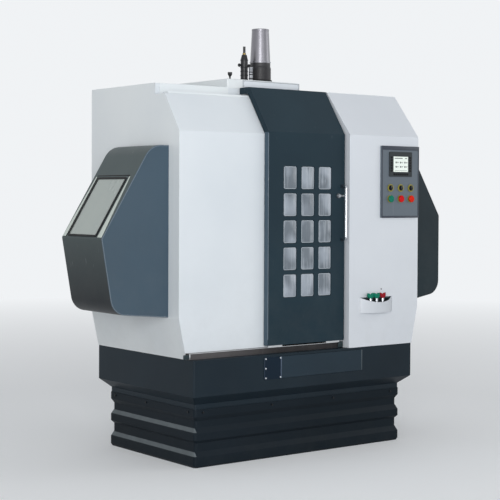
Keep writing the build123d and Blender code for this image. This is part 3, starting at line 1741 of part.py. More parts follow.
with BuildPart() as head:
    with BuildSketch(Plane.XY.offset(head_bottom)):
        with Locations((0, (head_back - head_nose) / 2)):
            RectangleRounded(head_width, head_back + head_nose, motor_corner)
    extrude(amount=head_top - head_bottom)
    with BuildSketch(Plane.XY.offset(nose_bottom)):
        with Locations((0, spindle_y)):
            Circle(nose_flange_diameter / 2)
    extrude(amount=nose_flange_height)
    for block_middle in (head_bottom + head_block_low, head_top - head_block_low):
        with BuildSketch(Plane.XZ.offset(-block_back)):
            with Locations((0, block_middle)):
                with GridLocations(z_rail_spacing, 0, 2, 1):
                    Rectangle(head_block_width, head_block_height)
        extrude(amount=block_back - head_back + motor_corner)
    with BuildSketch(Plane.XZ.offset(-block_back)):
        with Locations((0, (head_bottom + head_top) / 2)):
            Rectangle(nut_width, nut_length)
    extrude(amount=block_back - head_back)
    with BuildSketch(Plane.XZ.offset(-block_back)):
        with Locations((0, (head_bottom + head_top) / 2)):
            with GridLocations(z_rail_spacing, 0, 2, 1):
                Rectangle(z_rail_width + 2 * slide_gap, head_top - head_bottom)
    extrude(amount=z_rail_height - slide_depth + slide_gap, mode=Mode.SUBTRACT)
    with BuildSketch(Plane.XY.offset(head_bottom)):
        with Locations((0, z_screw_y)):
            Circle(screw_diameter / 2 + running_clearance)
    extrude(amount=head_top - head_bottom, mode=Mode.SUBTRACT)
    with BuildSketch(Plane.XY.offset(nose_bottom)):
        with Locations((0, spindle_y)):
            Circle(spindle_shaft / 2 + running_clearance)
    extrude(amount=head_top - nose_bottom - bearing_block, mode=Mode.SUBTRACT)
head.part.label = "head"
export_step(head.part, "parts/head.step")

# Spindle with its collet holder and a straight tool
spindle_face = nose_bottom - 2 * seam
holder_top = spindle_face - spindle_nose_height
collet_top = holder_top - holder_height
tool_top = collet_top - collet_height

with BuildPart() as spindle:
    with BuildSketch(Plane.XZ.offset(-spindle_y)):
        with BuildLine():
            Polyline(
                (0, head_top - 1.5 * bearing_block),
                (spindle_shaft / 2, head_top - 1.5 * bearing_block),
                (spindle_shaft / 2, spindle_face),
                (spindle_nose / 2, spindle_face),
                (spindle_nose / 2, holder_top),
                (holder_diameter / 2, holder_top),
                (holder_diameter / 2, collet_top + holder_height / 2),
                (collet_diameter / 2 + slot_groove, collet_top),
                (collet_diameter / 2, collet_top),
                (collet_diameter / 2, tool_top + slot_groove),
                (collet_diameter / 2 - slot_groove, tool_top),
                (tool_diameter / 2, tool_top),
                (tool_diameter / 2, tool_top - tool_length),
                (0, tool_top - tool_length),
                close=True,
            )
        make_face()
    revolve(axis=Axis((0, spindle_y, 0), (0, 0, 1)))
spindle.part.label = "spindle"
export_step(spindle.part, "parts/spindle.step")

# Spindle motor: stands on the head and rises through the roof box
with BuildPart() as spindle_motor:
    with BuildSketch(Plane.XY.offset(head_top)):
        with Locations((0, spindle_y)):
            RectangleRounded(motor_base_side, motor_base_side, motor_corner)
    extrude(amount=motor_base_height)
    with BuildSketch(Plane.XZ.offset(-spindle_y)):
        with BuildLine():
            Polyline(
                (0, head_top),
                (motor_body_diameter / 2, head_top),
                (motor_body_diameter / 2, motor_body_top),
                (cowl_bottom_diameter / 2, motor_body_top + motor_chamfer),
                (cowl_bottom_diameter / 2, motor_shoulder),
                (0, motor_shoulder),
                close=True,
            )
        make_face()
    revolve(axis=Axis((0, spindle_y, 0), (0, 0, 1)))
spindle_motor.part.label = "spindle_motor"
export_step(spindle_motor.part, "parts/spindle_motor.step")

# Tapered fan cowl on the spindle motor
cowl_top = motor_shoulder + cowl_height

with BuildPart() as motor_cowl:
    with BuildSketch(Plane.XZ.offset(-spindle_y)):
        with BuildLine():
            Polyline(
                (cowl_bottom_diameter / 2, motor_shoulder),
                (cowl_top_diameter / 2, cowl_top - cowl_round),
                (cowl_top_diameter / 2 - cowl_round, cowl_top),
                (0, cowl_top),
                (0, cowl_top - cowl_wall),
                (cowl_top_diameter / 2 - cowl_round - cowl_wall / 2, cowl_top - cowl_wall),
                (cowl_top_diameter / 2 - cowl_wall, cowl_top - cowl_round - cowl_wall / 2),
                (cowl_bottom_diameter / 2 - cowl_wall, motor_shoulder),
                close=True,
            )
        make_face()
    revolve(axis=Axis((0, spindle_y, 0), (0, 0, 1)))
motor_cowl.part.label = "motor_cowl"
export_step(motor_cowl.part, "parts/motor_cowl.step")

# Air unit on the roof box: a bowl with a shoulder, a stem, cross ports and a small cylinder
with BuildPart() as air_unit:
    with BuildSketch(Plane.XZ.offset(-air_y)):
        with BuildLine():
            Polyline(
                (air_x, roof_box_top),
                (air_x + air_bowl_diameter / 2, roof_box_top),
                (air_x + air_bowl_diameter / 2, roof_box_top + air_shoulder),
                (air_x + air_stem_diameter, roof_box_top + air_body_height),
                (air_x + air_stem_diameter / 2, roof_box_top + air_body_height),
                (air_x + air_stem_diameter / 2, roof_box_top + air_body_height + air_stem_height),
                (air_x, roof_box_top + air_body_height + air_stem_height),
                close=True,
            )
        make_face()
    revolve(axis=Axis((air_x, air_y, 0), (0, 0, 1)))
    with BuildSketch(Plane.YZ.offset(air_x - air_arm_length / 2)):
        with Locations((air_y, roof_box_top + air_arm_height)):
            Circle(air_arm_diameter / 2)
    extrude(amount=air_arm_length)
    with BuildSketch(Plane.XY.offset(roof_box_top)):
        with Locations(((air_x + cylinder_x) / 2, (air_y + cylinder_y) / 2)):
            RectangleRounded(air_foot_width, air_foot_depth, bend)
    extrude(amount=air_foot_height)
    with BuildSketch(Plane.XY.offset(roof_box_top)):
        with Locations((cylinder_x, cylinder_y)):
            Circle(cylinder_diameter / 2)
    extrude(amount=cylinder_height)
air_unit.part.label = "air_unit"
export_step(air_unit.part, "parts/air_unit.step")

# Oil cup on a thin neck at the roof box's corner
with BuildPart() as oil_cup:
    with BuildSketch(Plane.XZ.offset(-oil_cup_y)):
        with BuildLine():
            Polyline(
                (oil_cup_x, roof_box_top),
                (oil_cup_x + oil_cup_neck / 2, roof_box_top),
                (oil_cup_x + oil_cup_neck / 2, roof_box_top + oil_cup_height / 3),
                (oil_cup_x + oil_cup_diameter / 2, roof_box_top + oil_cup_height * 2 / 3),
                (oil_cup_x + oil_cup_diameter / 2, roof_box_top + oil_cup_height),
                (oil_cup_x, roof_box_top + oil_cup_height),
                close=True,
            )
        make_face()
    revolve(axis=Axis((oil_cup_x, oil_cup_y, 0), (0, 0, 1)))
oil_cup.part.label = "oil_cup"
export_step(oil_cup.part, "parts/oil_cup.step")

# Electrical cabinet behind the back wall, with drive units inside and two hinge pins
cabinet_front = tray_back + seam
cabinet_open = cabinet_front + cabinet_depth
cabinet_bottom = tray_height + cabinet_rise
cabinet_top = cabinet_bottom + cabinet_height
louvre_base = cabinet_bottom + louvre_rise
cabinet_middle_z = (cabinet_bottom + cabinet_top) / 2
hinge_x = cabinet_width / 2 + hinge_barrel / 2
hinge_y = cabinet_open + cabinet_gap + cabinet_door_depth / 2
hinge_places = [cabinet_bottom + hinge_inset, cabinet_top - hinge_inset - cabinet_pin_length]

with BuildPart() as electrical_cabinet:
    with BuildSketch(Plane.XZ.offset(-cabinet_open)):
        with Locations((0, cabinet_middle_z)):
            Rectangle(cabinet_width, cabinet_top - cabinet_bottom)
    extrude(amount=cabinet_depth)
    with BuildSketch(Plane.XZ.offset(-cabinet_open)):
        with Locations((0, cabinet_middle_z)):
            Rectangle(
                cabinet_width - 2 * cabinet_sheet,
                cabinet_top - cabinet_bottom - 2 * cabinet_sheet,
            )
    extrude(amount=cabinet_depth - cabinet_sheet, mode=Mode.SUBTRACT)
    with BuildSketch(Plane.XZ.offset(-cabinet_front - cabinet_sheet)):
        with Locations((0, cabinet_middle_z + drive_height / 2)):
            with GridLocations(drive_pitch, 0, drive_count, 1):
                Rectangle(drive_width, drive_height)
        with Locations((0, cabinet_middle_z - drive_height / 2)):
            Rectangle(drive_pitch * drive_count, terminal_height)
    extrude(amount=-drive_depth)
    for pin_bottom in hinge_places:
        with BuildSketch(Plane.XY.offset(pin_bottom)):
            with Locations((hinge_x, hinge_y)):
                Circle(hinge_barrel / 2)
            with Locations((hinge_x, (hinge_y + cabinet_open - 2 * cabinet_door_depth) / 2)):
                Rectangle(hinge_barrel, hinge_y - cabinet_open + 2 * cabinet_door_depth)
        extrude(amount=cabinet_pin_length / 2)
        with BuildSketch(Plane.XY.offset(pin_bottom)):
            with Locations((hinge_x, hinge_y)):
                Circle(cabinet_pin_diameter / 2)
        extrude(amount=cabinet_pin_length)
electrical_cabinet.part.label = "electrical_cabinet"
export_step(electrical_cabinet.part, "parts/electrical_cabinet.step")

# Cabinet door with louvres, a lock and two hinge barrels
cabinet_door_back = cabinet_open + cabinet_gap + cabinet_door_depth
door_panel_width = cabinet_width - 2 * cabinet_gap
door_panel_height = cabinet_top - cabinet_bottom - 2 * cabinet_gap

with BuildPart() as cabinet_door:
    with BuildSketch(Plane.XZ.offset(-cabinet_door_back)):
        with Locations((0, cabinet_middle_z)):
            Rectangle(door_panel_width, door_panel_height)
    extrude(amount=cabinet_door_depth)
    with BuildSketch(Plane.XZ.offset(-cabinet_open - cabinet_gap)):
        with Locations((0, cabinet_middle_z)):
            Rectangle(
                door_panel_width - 2 * cabinet_sheet,
                door_panel_height - 2 * cabinet_sheet,
            )
    extrude(amount=-cabinet_door_depth + cabinet_sheet, mode=Mode.SUBTRACT)
    with BuildSketch(Plane.XZ.offset(-cabinet_door_back)):
        with Locations((0, louvre_base + (louvre_count - 1) * louvre_pitch / 2)):
            with GridLocations(louvre_width * 1.5, louvre_pitch, 2, louvre_count):
                Rectangle(louvre_width, louvre_height)
    extrude(amount=cabinet_sheet, mode=Mode.SUBTRACT)
    with BuildSketch(Plane.XZ.offset(-cabinet_door_back)):
        with Locations((-door_panel_width / 2 + 2 * lock_diameter, cabinet_middle_z)):
            Circle(lock_diameter / 2)
    extrude(amount=-lock_height)
    for pin_bottom in hinge_places:
        barrel_bottom = pin_bottom + cabinet_pin_length / 2 + 2 * seam
        with BuildSketch(Plane.XY.offset(barrel_bottom)):
            with Locations((hinge_x, hinge_y)):
                Circle(hinge_barrel / 2)
            with Locations((hinge_x - hinge_barrel / 2, hinge_y)):
                Rectangle(hinge_barrel, cabinet_door_depth / 2)
        extrude(amount=cabinet_pin_length / 2)
        with BuildSketch(Plane.XY.offset(barrel_bottom)):
            with Locations((hinge_x, hinge_y)):
                Circle(cabinet_pin_diameter / 2 + running_clearance)
        extrude(amount=cabinet_pin_length / 2, mode=Mode.SUBTRACT)
cabinet_door.part.label = "cabinet_door"
export_step(cabinet_door.part, "parts/cabinet_door.step")
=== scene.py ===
import math

import bmesh
import bpy
from mathutils import Matrix, Vector


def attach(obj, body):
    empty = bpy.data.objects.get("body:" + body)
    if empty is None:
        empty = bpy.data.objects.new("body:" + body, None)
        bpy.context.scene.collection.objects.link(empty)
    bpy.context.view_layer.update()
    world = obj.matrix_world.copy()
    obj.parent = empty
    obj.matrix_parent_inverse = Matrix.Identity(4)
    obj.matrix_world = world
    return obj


scene = bpy.context.scene
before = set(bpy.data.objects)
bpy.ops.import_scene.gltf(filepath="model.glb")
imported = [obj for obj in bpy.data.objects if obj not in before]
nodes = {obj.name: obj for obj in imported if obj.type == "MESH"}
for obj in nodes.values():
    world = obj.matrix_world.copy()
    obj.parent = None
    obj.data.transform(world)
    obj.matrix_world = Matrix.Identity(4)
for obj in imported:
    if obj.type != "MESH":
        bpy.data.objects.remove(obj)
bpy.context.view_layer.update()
print("frame loaded with", len(nodes), "nodes")


# Colours are written as they look on a screen, 0 to 255
def tone(*parts):
    light = [((part / 255 + 0.055) / 1.055) ** 2.4 if part > 10 else part / 3294.6 for part in parts]
    return (*light, 1.0)


# A shader socket that can stand in a sum
class Wire:
    def __init__(self, shading, socket):
        self.shading = shading
        self.socket = socket

    def sum(self, operation, left, right):
        return self.shading.node("ShaderNodeMath", {"operation": operation}, {0: left, 1: right})

    def __add__(self, other):
        return self.sum("ADD", self, other)

    def __radd__(self, other):
        return self.sum("ADD", other, self)

    def __sub__(self, other):
        return self.sum("SUBTRACT", self, other)

    def __rsub__(self, other):
        return self.sum("SUBTRACT", other, self)

    def __mul__(self, other):
        return self.sum("MULTIPLY", self, other)

    def __rmul__(self, other):
        return self.sum("MULTIPLY", other, self)

    def __truediv__(self, other):
        return self.sum("DIVIDE", self, other)

    def __gt__(self, other):
        return self.sum("GREATER_THAN", self, other)


# A shader tree whose nodes are made and joined in one call
class Shading:
    def __init__(self, tree):
        self.tree = tree

    def node(self, kind, settings=None, inputs=None, out=0):
        made = self.tree.nodes.new(kind)
        for key, value in (settings or {}).items():
            if key == "stops":
                ramp = made.color_ramp
                ramp.elements[0].position, ramp.elements[0].color = value[0]
                ramp.elements[1].position, ramp.elements[1].color = value[-1]
                for spot, shade in value[1:-1]:
                    ramp.elements.new(spot).color = shade
            else:
                setattr(made, key, value)
        for key, value in (inputs or {}).items():
            self.feed(made.inputs[key], value)
        return Wire(self, made.outputs[out])

    def feed(self, socket, value):
        if isinstance(value, Wire):
            self.tree.links.new(value.socket, socket)
        else:
            socket.default_value = value


# A paint: the tree of one material, with its place on the object
class Paint(Shading):
    def __init__(self, name):
        self.material = bpy.data.materials.new(name)
        self.material.use_nodes = True
        super().__init__(self.material.node_tree)
        self.surface = self.tree.nodes["Principled BSDF"]
        self.place = self.node("ShaderNodeTexCoord", out="Object")

    def wear(self, **sockets):
        for name, value in sockets.items():
            self.feed(self.surface.inputs[name.replace("_", " ")], value)
        return self

    def stretched(self, scale, turn=(0, 0, 0)):
        return self.node("ShaderNodeMapping", None, {"Vector": self.place, "Scale": scale, "Rotation": turn})

    def noise(self, scale, detail=3.0, rough=0.55, at=None):
        inputs = {"Vector": at or self.place, "Scale": scale, "Detail": detail, "Roughness": rough}
        return self.node("ShaderNodeTexNoise", None, inputs)

    def ramp(self, value, *stops):
        return self.node("ShaderNodeValToRGB", {"stops": stops}, {"Fac": value})

    def step(self, value, low, high):
        return self.ramp(value, (low, (0, 0, 0, 1)), (high, (1, 1, 1, 1)))

    def blend(self, share, first, second):
        return self.node("ShaderNodeMix", {"data_type": "RGBA"}, {0: share, 6: first, 7: second}, 2)

    def axis(self, letter):
        return self.node("ShaderNodeSeparateXYZ", None, {"Vector": self.place}, letter)

    def spread(self):
        return self.node("ShaderNodeMath", {"operation": "ABSOLUTE"}, {0: self.axis("X")})

    def fade(self, value, start, end):
        ends = {"Value": value, "From Min": start, "From Max": end, "To Min": 0.0, "To Max": 1.0}
        return self.node("ShaderNodeMapRange", {"clamp": True}, ends)

    def bump(self, height, strength, distance):
        inputs = {"Height": height, "Strength": strength, "Distance": distance}
        self.feed(self.surface.inputs["Normal"], self.node("ShaderNodeBump", None, inputs))
        return self


# Powder-coated sheet: cloudy colour, a fine orange-peel skin, dust low down and light scuffs
sheetLook = {
    "cloudScale": 1.4, "peel": 330.0, "roughness": 0.34, "coat": 0.0, "gloss": 0.5,
    "dustColor": tone(150, 146, 138),
    "scuffColor": tone(225, 227, 228),
    "dustTop": 1.2, "dustFoot": 0.3,
}


def sheetPaint(name, color, shade, **changes):
    look = {**sheetLook, **changes}
    paint = Paint(name)
    cloud = paint.noise(look["cloudScale"], detail=4.0)
    tint = paint.blend(paint.step(cloud, 0.35, 0.7), tone(*color), tone(*shade))
    height = paint.axis("Z")
    # Behind the given depth the sheet takes another tone, darker towards its foot: painted shade
    if "wrap" in look:
        wrap = look["wrap"]
        rolled = paint.blend(paint.fade(height, wrap["top"], wrap["foot"]), wrap["color"], wrap["footColor"])
        tint = paint.blend(paint.axis("Y") > wrap["from"], tint, rolled)
    # A colour blended in along x between two places: painted shade on the sill under the door
    if "along" in look:
        along = look["along"]
        share = paint.step(paint.axis("X") + 1.0, along["from"] + 1.0, along["to"] + 1.0)
        tint = paint.blend(share * 0.95, tint, along["color"])
    # Lighter bands on the sloped shoulders at both sides of the stand: painted highlight
    if "shoulders" in look:
        shoulders = look["shoulders"]
        outer = paint.spread() > shoulders["beyond"]
        bands = [(height > foot) * (1.0 - (height > top)) for foot, top in shoulders["levels"]]
        share = outer * (bands[0] + bands[1]) * (paint.noise(14.0, detail=3.0) * 0.5 + 0.6)
        tint = paint.blend(share, tint, shoulders["color"])
    if "inside" in look:
        inside = look["inside"]
        level = (height > inside["foot"]) * (1.0 - (height > inside["top"]))
        held = (1.0 - (paint.spread() > inside["wide"])) * (paint.axis("Y") > inside["behind"]) * level
        fitted = paint.blend(height > inside["split"], inside["barColor"], inside["color"])
        tint = paint.blend(held, tint, fitted)
    low = paint.fade(height, look["dustTop"], look["dustFoot"])
    dusty = low * paint.step(paint.noise(9.0, detail=8.0, rough=0.7), 0.42, 0.68) * look["dust"]
    grain = paint.noise(60.0, detail=4.0, rough=0.6, at=paint.stretched((1.0, 1.0, 0.12)))
    scuff = paint.step(grain, 0.68, 0.76) * look["scuff"]
    paint.wear(
        Base_Color=paint.blend(scuff, paint.blend(dusty, tint, look["dustColor"]), look["scuffColor"]),
        Roughness=paint.noise(5.0, detail=5.0) * 0.14 + look["roughness"] + dusty * 0.25,
        Coat_Weight=look["coat"],
        Coat_Roughness=0.25,
        Specular_IOR_Level=look["gloss"],
    )
    return paint.bump(paint.noise(look["peel"], detail=2.0), strength=0.12, distance=0.0006).material


# Painted or bare casting
def castPaint(name, color, shade, roughness, metal=0.0, gloss=0.5, pit=0.35):
    paint = Paint(name)
    pits = paint.noise(160.0, detail=5.0, rough=0.65)
    cloud = paint.step(paint.noise(3.0, detail=5.0), 0.35, 0.7)
    share = cloud * 0.5 + paint.step(pits, 0.5, 0.75) * 0.3
    paint.wear(
        Base_Color=paint.blend(share, tone(*color), tone(*shade)),
        Roughness=paint.noise(20.0, detail=4.0) * 0.2 + roughness,
        Metallic=metal,
        Specular_IOR_Level=gloss,
    )
    return paint.bump(pits, strength=pit, distance=0.0012).material


# Metal with its grain along one way
def grainMetal(name, color, shade, grain, roughness, spread=0.22, bump=0.08, coat=0.0):
    paint = Paint(name)
    lines = paint.noise(60.0, detail=4.0, rough=0.6, at=paint.stretched(grain))
    smear = paint.step(paint.noise(6.0, detail=5.0), 0.4, 0.7)
    paint.wear(
        Base_Color=paint.blend(lines * 0.6 + smear * 0.2, tone(*color), tone(*shade)),
        Roughness=lines * spread + roughness + smear * 0.06,
        Metallic=1.0,
        Coat_Weight=coat,
        Coat_Roughness=0.3,
    )
    return paint.bump(lines, strength=bump, distance=0.0003).material


# Moulded plastic or rubber
def moulded(name, color, shade, roughness, skin=500.0, coat=0.0, gloss=0.5):
    paint = Paint(name)
    rub = paint.step(paint.noise(35.0, detail=5.0, rough=0.7), 0.5, 0.75)
    paint.wear(
        Base_Color=paint.blend(rub * 0.5, tone(*color), tone(*shade)),
        Roughness=rub * 0.12 + roughness,
        Coat_Weight=coat,
        Coat_Roughness=0.12,
        Specular_IOR_Level=gloss,
    )
    return paint.bump(paint.noise(skin, detail=2.0), strength=0.15, distance=0.0004).material


# Hazed acrylic: each window has its own tone, with upright wipe marks
def hazedAcrylic(name, dark, pale, haze):
    paint = Paint(name)
    broad, upright = paint.stretched((1.0, 0.2, 0.8)), paint.stretched((1.0, 1.0, 0.05))
    patch = paint.step(paint.noise(9.0, detail=1.0, rough=0.3, at=broad), 0.42, 0.58)
    wipes = paint.step(paint.noise(46.0, detail=3.0, rough=0.6, at=upright), 0.46, 0.66)
    drift = paint.noise(18.0, detail=4.0)
    tint = paint.blend(patch * 0.75 + drift * 0.2, tone(*dark), tone(*pale))
    wiped = wipes * paint.step(paint.noise(9.0, detail=2.0), 0.4, 0.6) * 0.5
    paint.wear(
        Base_Color=paint.blend(wiped, tint, tone(*haze)),
        Roughness=drift * 0.2 + wipes * 0.1 + 0.12,
        Coat_Weight=0.3,
        Coat_Roughness=0.08,
    )
    return paint.bump(paint.noise(24.0, detail=2.0), strength=0.05, distance=0.002).material


# Glass or acrylic with smears
def pane(name, color, shade, roughness, alpha, haze):
    paint = Paint(name)
    smudge = paint.noise(7.0, detail=6.0, rough=0.7, at=paint.stretched((1.0, 1.0, 0.35)))
    smear = paint.step(smudge, 0.35, 0.75)
    paint.wear(
        Base_Color=paint.blend(smear, tone(*color), tone(*shade)),
        Roughness=smear * 0.25 + roughness,
        Alpha=smear * haze + alpha,
        Coat_Weight=0.6,
        Coat_Roughness=0.05,
    )
    return paint.bump(paint.noise(14.0, detail=2.0), strength=0.03, distance=0.002).material


# Screws: bright on the tray's plate, painted over on the stand
def screwFinish(name, level, low, high):
    paint = Paint(name)
    raised = paint.axis("Z") > level
    worn = paint.noise(60.0, detail=3.0)
    paint.wear(
        Base_Color=paint.blend(raised, tone(*low), tone(*high)),
        Roughness=worn * 0.15 + 0.28,
        Metallic=raised * 0.8,
        Specular_IOR_Level=0.3,
    )
    return paint.bump(worn, strength=0.1, distance=0.0005).material


# Bright metal in front of its dark feet against the door
def railFinish(name, feet, color, shade, footColor, roughness):
    paint = Paint(name)
    worn = paint.noise(40.0, detail=3.0)
    foot = paint.axis("Y") > feet
    paint.wear(
        Base_Color=paint.blend(foot, paint.blend(worn, tone(*color), tone(*shade)), tone(*footColor)),
        Roughness=worn * 0.12 + foot * 0.25 + roughness,
        Metallic=1.0 - foot,
        Specular_IOR_Level=0.25,
    )
    return paint.bump(worn, strength=0.03, distance=0.0003).material


# Lit display: an even pale field
def litField(name, color, shade, strength):
    paint = Paint(name)
    spread = paint.noise(14.0, detail=2.0)
    glow = paint.blend(spread, tone(*color), tone(*shade))
    paint.wear(
        Base_Color=glow,
        Roughness=spread * 0.1 + 0.12,
        Emission_Color=glow,
        Emission_Strength=strength,
    )
    return paint.bump(paint.noise(900.0, detail=1.0), strength=0.02, distance=0.0002).material


# Pale powder coats
powder = {"dust": 0.10, "scuff": 0.10, "coat": 0.15}
whitePaint = sheetPaint(
    "whitePowderCoat", (226, 231, 233), (218, 224, 228), **powder, scuffColor=tone(190, 195, 198)
)
frontPaint = sheetPaint(
    "frontPowderCoat", (219, 225, 230), (211, 218, 224), **powder, scuffColor=tone(185, 190, 194)
)
greyWhitePaint = sheetPaint(
    "rightPowderCoat", (214, 219, 225), (208, 213, 220), **powder, scuffColor=tone(180, 185, 190)
)
# The valve pocket's bulge: the panel's white painted a little darker, a painted shade
shadedPocketPaint = sheetPaint(
    "shadedPocketPowderCoat", (205, 210, 216), (198, 203, 210), dust=0.10, scuff=0.05, coat=0.15,
    scuffColor=tone(180, 185, 190),
)
# The drives and the terminal bar inside the cabinet are dark and grey, between these places in metres
driveTones = {
    "wide": 0.262, "behind": 0.4640, "foot": 1.06, "split": 1.17, "top": 1.487,
    "color": tone(62, 68, 72),
    "barColor": tone(150, 152, 146),
}
cabinetPaint = sheetPaint(
    "cabinetPowderCoat", (226, 231, 233), (218, 224, 228), dust=0.10, scuff=0.06, coat=0.1,
    scuffColor=tone(190, 195, 198), inside=driveTones,
)
platePaint = sheetPaint(
    "plateEnamel", (222, 228, 234), (206, 213, 221), dust=0.1, scuff=0.3, roughness=0.3,
    scuffColor=tone(150, 156, 164),
)

# Slate paints of the hoods and the door; the left hood's rolled sheet, behind its front, takes another tone,
# painted darker towards its foot as painted shade
hoodDust = {"dust": 0.04, "scuff": 0.1, "dustTop": 1.6, "dustFoot": 0.6}
hoodWrapShade = {
    "from": -0.2994, "top": 1.28, "foot": 0.86,
    "color": tone(68, 80, 81),
    "footColor": tone(18, 26, 31),
}
slatePaint = sheetPaint("slateHoodPaint", (68, 86, 100), (61, 78, 91), **hoodDust, gloss=0.25, wrap=hoodWrapShade)
# The right hood's slate, painted darker all over: painted shade
shadedSlatePaint = sheetPaint("shadedSlatePaint", (25, 40, 46), (20, 30, 37), **hoodDust, gloss=0.2)
doorPaint = sheetPaint(
    "slateDoorPaint", (28, 48, 58), (22, 39, 49), dust=0.03, scuff=0.08, gloss=0.16, dustTop=1.5, dustFoot=0.5
)
# The door's left side, painted lighter than its front: painted light
litDoorEdgePaint = sheetPaint(
    "litDoorEdgePaint", (62, 82, 96), (54, 72, 86), dust=0.05, scuff=0.2, roughness=0.32, gloss=0.3, dustTop=1.5,
    dustFoot=0.5,
)
# Lighter slate for the beads on the left hood's and the door's front edges: a painted highlight
slateHighlight = sheetPaint(
    "slateHighlightPaint", (104, 118, 130), (84, 98, 110), dust=0.1, scuff=0.5, roughness=0.3, dustTop=1.6,
    dustFoot=0.6,
)
controlPaint = sheetPaint(
    "controlBoxPaint", (98, 108, 117), (92, 101, 110), dust=0.04, scuff=0.08, roughness=0.42, gloss=0.3
)

# Dark paints of the tray and the stand; the stand's sloped shoulders are painted lighter at both ends, a
# painted highlight
lowDust = {"dustTop": 0.6, "dustFoot": 0.0}
shoulderHighlight = {"beyond": 0.6966, "levels": ((0.0585, 0.079), (0.1805, 0.201)), "color": tone(106, 114, 118)}
# The sill is painted dark towards its right end, under the door: painted shade
sillShade = {"from": -0.52, "to": -0.2, "color": tone(26, 24, 27)}
trayPaint = sheetPaint(
    "darkTrayPaint", (25, 38, 47), (20, 31, 39), **lowDust, dust=0.02, scuff=0.0, gloss=0.15
)
drawerPaint = sheetPaint(
    "drawerPaint", (31, 47, 58), (26, 40, 50), **lowDust, dust=0.02, scuff=0.03, gloss=0.2
)
plateDark = sheetPaint(
    "darkPlatePaint", (16, 32, 46), (13, 25, 38), **lowDust, dust=0.0, scuff=0.03, roughness=0.36, gloss=0.12
)
standPaint = sheetPaint(
    "darkStandPaint", (28, 36, 43), (21, 29, 35), dust=0.02, scuff=0.02, roughness=0.3, gloss=0.07,
    dustTop=0.2, dustFoot=-0.02, shoulders=shoulderHighlight,
)
sillPaint = sheetPaint(
    "sillPaint", (84, 82, 83), (60, 58, 60), dust=0.08, scuff=0.3, roughness=0.38, gloss=0.3,
    dustTop=0.7, dustFoot=0.5, along=sillShade,
)
# Lighter paints for the folded edges of the tray's plate and the drawer: painted highlights
plateEdgeHighlight = sheetPaint("plateEdgeHighlightPaint", (66, 82, 102), (50, 64, 84), dust=0.0, scuff=0.3, roughness=0.3)
drawerEdgeHighlight = sheetPaint("drawerEdgeHighlightPaint", (66, 78, 84), (54, 65, 72), dust=0.0, scuff=0.2, roughness=0.32)

# Castings and metals
greenCast = castPaint("paintedCasting", (150, 163, 158), (132, 146, 141), 0.42)
machinedIron = castPaint("machinedIron", (165, 166, 168), (128, 128, 130), 0.3, metal=0.85, pit=0.08)
motorBlack = castPaint("motorBlackPaint", (40, 40, 43), (27, 27, 30), 0.36, gloss=0.4, pit=0.15)
unitBlack = castPaint("unitBlackPaint", (20, 21, 24), (30, 31, 34), 0.3, gloss=0.4, pit=0.1)
boltSteel = castPaint("boltSteel", (96, 98, 102), (66, 68, 72), 0.34, metal=0.9, pit=0.1)
brass = castPaint("brassFitting", (134, 116, 72), (96, 82, 50), 0.4, metal=1.0, pit=0.1)
groundSteel = grainMetal("groundSteel", (200, 201, 204), (160, 161, 165), (1.0, 1.0, 8.0), 0.22)
chromeSteel = grainMetal("chromeSteel", (196, 199, 203), (164, 167, 172), (2.0, 2.0, 2.0), 0.1)
cowlSteel = grainMetal(
    "spunCowlSteel", (130, 129, 135), (110, 109, 115), (0.05, 0.05, 14.0), 0.36,
    spread=0.03, bump=0.02, coat=0.8,
)
bowlAlloy = grainMetal("bowlAlloy", (150, 152, 156), (104, 106, 112), (1.0, 1.0, 4.0), 0.34)
# Pale alloy for the strips beside the hood windows: a painted reflection
reflectionAlloy = grainMetal("reflectionAlloy", (205, 212, 206), (178, 186, 180), (0.4, 6.0, 6.0), 0.4)
alloy = grainMetal("brushedAlloy", (205, 207, 209), (170, 172, 175), (0.4, 6.0, 6.0), 0.28)
screwSteel = screwFinish("screwSteel", level=0.4, low=(14, 18, 22), high=(222, 226, 230))
handleChrome = railFinish("handleChrome", -0.4455, (206, 209, 213), (180, 183, 188), (24, 36, 46), 0.14)
latchSteel = railFinish("latchSteel", -0.4375, (178, 181, 184), (136, 139, 143), (24, 30, 34), 0.3)

# Rubber, plastic and glass
blackRubber = moulded("blackRubber", (18, 19, 21), (32, 33, 35), 0.6, skin=240.0, gloss=0.3)
blackPlastic = moulded("blackPlastic", (22, 25, 28), (34, 38, 42), 0.38, gloss=0.25)
bezelGrey = moulded("bezelGrey", (40, 46, 49), (52, 58, 62), 0.4, gloss=0.25)
nylon = moulded("nylon", (216, 213, 204), (186, 180, 168), 0.45)
olivePlastic = moulded("oliveCollar", (142, 134, 46), (104, 98, 32), 0.35, gloss=0.4)
greenPlastic = moulded("greenPlastic", (8, 118, 94), (6, 84, 70), 0.32, gloss=0.12)
redPlastic = moulded("redPlastic", (200, 8, 14), (150, 4, 10), 0.32, gloss=0.12)
darkRedPlastic = moulded("darkRedPlastic", (146, 16, 30), (90, 8, 18), 0.32, gloss=0.12)
orangePlastic = moulded("orangePlastic", (212, 34, 6), (170, 20, 6), 0.32, gloss=0.12)
markGrey = moulded("markGrey", (66, 74, 74), (48, 56, 58), 0.4)
keyDark = moulded("keyDark", (12, 14, 16), (20, 22, 25), 0.5, gloss=0.15)
rimGrey = moulded("rimGrey", (158, 164, 169), (138, 144, 150), 0.4)
rimSlate = moulded("rimSlate", (58, 64, 74), (46, 52, 62), 0.4, gloss=0.3)
# Dark grey of the rail's end pieces, also a painted shade inside the valve pocket
pocketShadeAndRailEndGrey = moulded("pocketShadeAndRailEndGrey", (44, 56, 60), (34, 45, 49), 0.5, gloss=0.2)
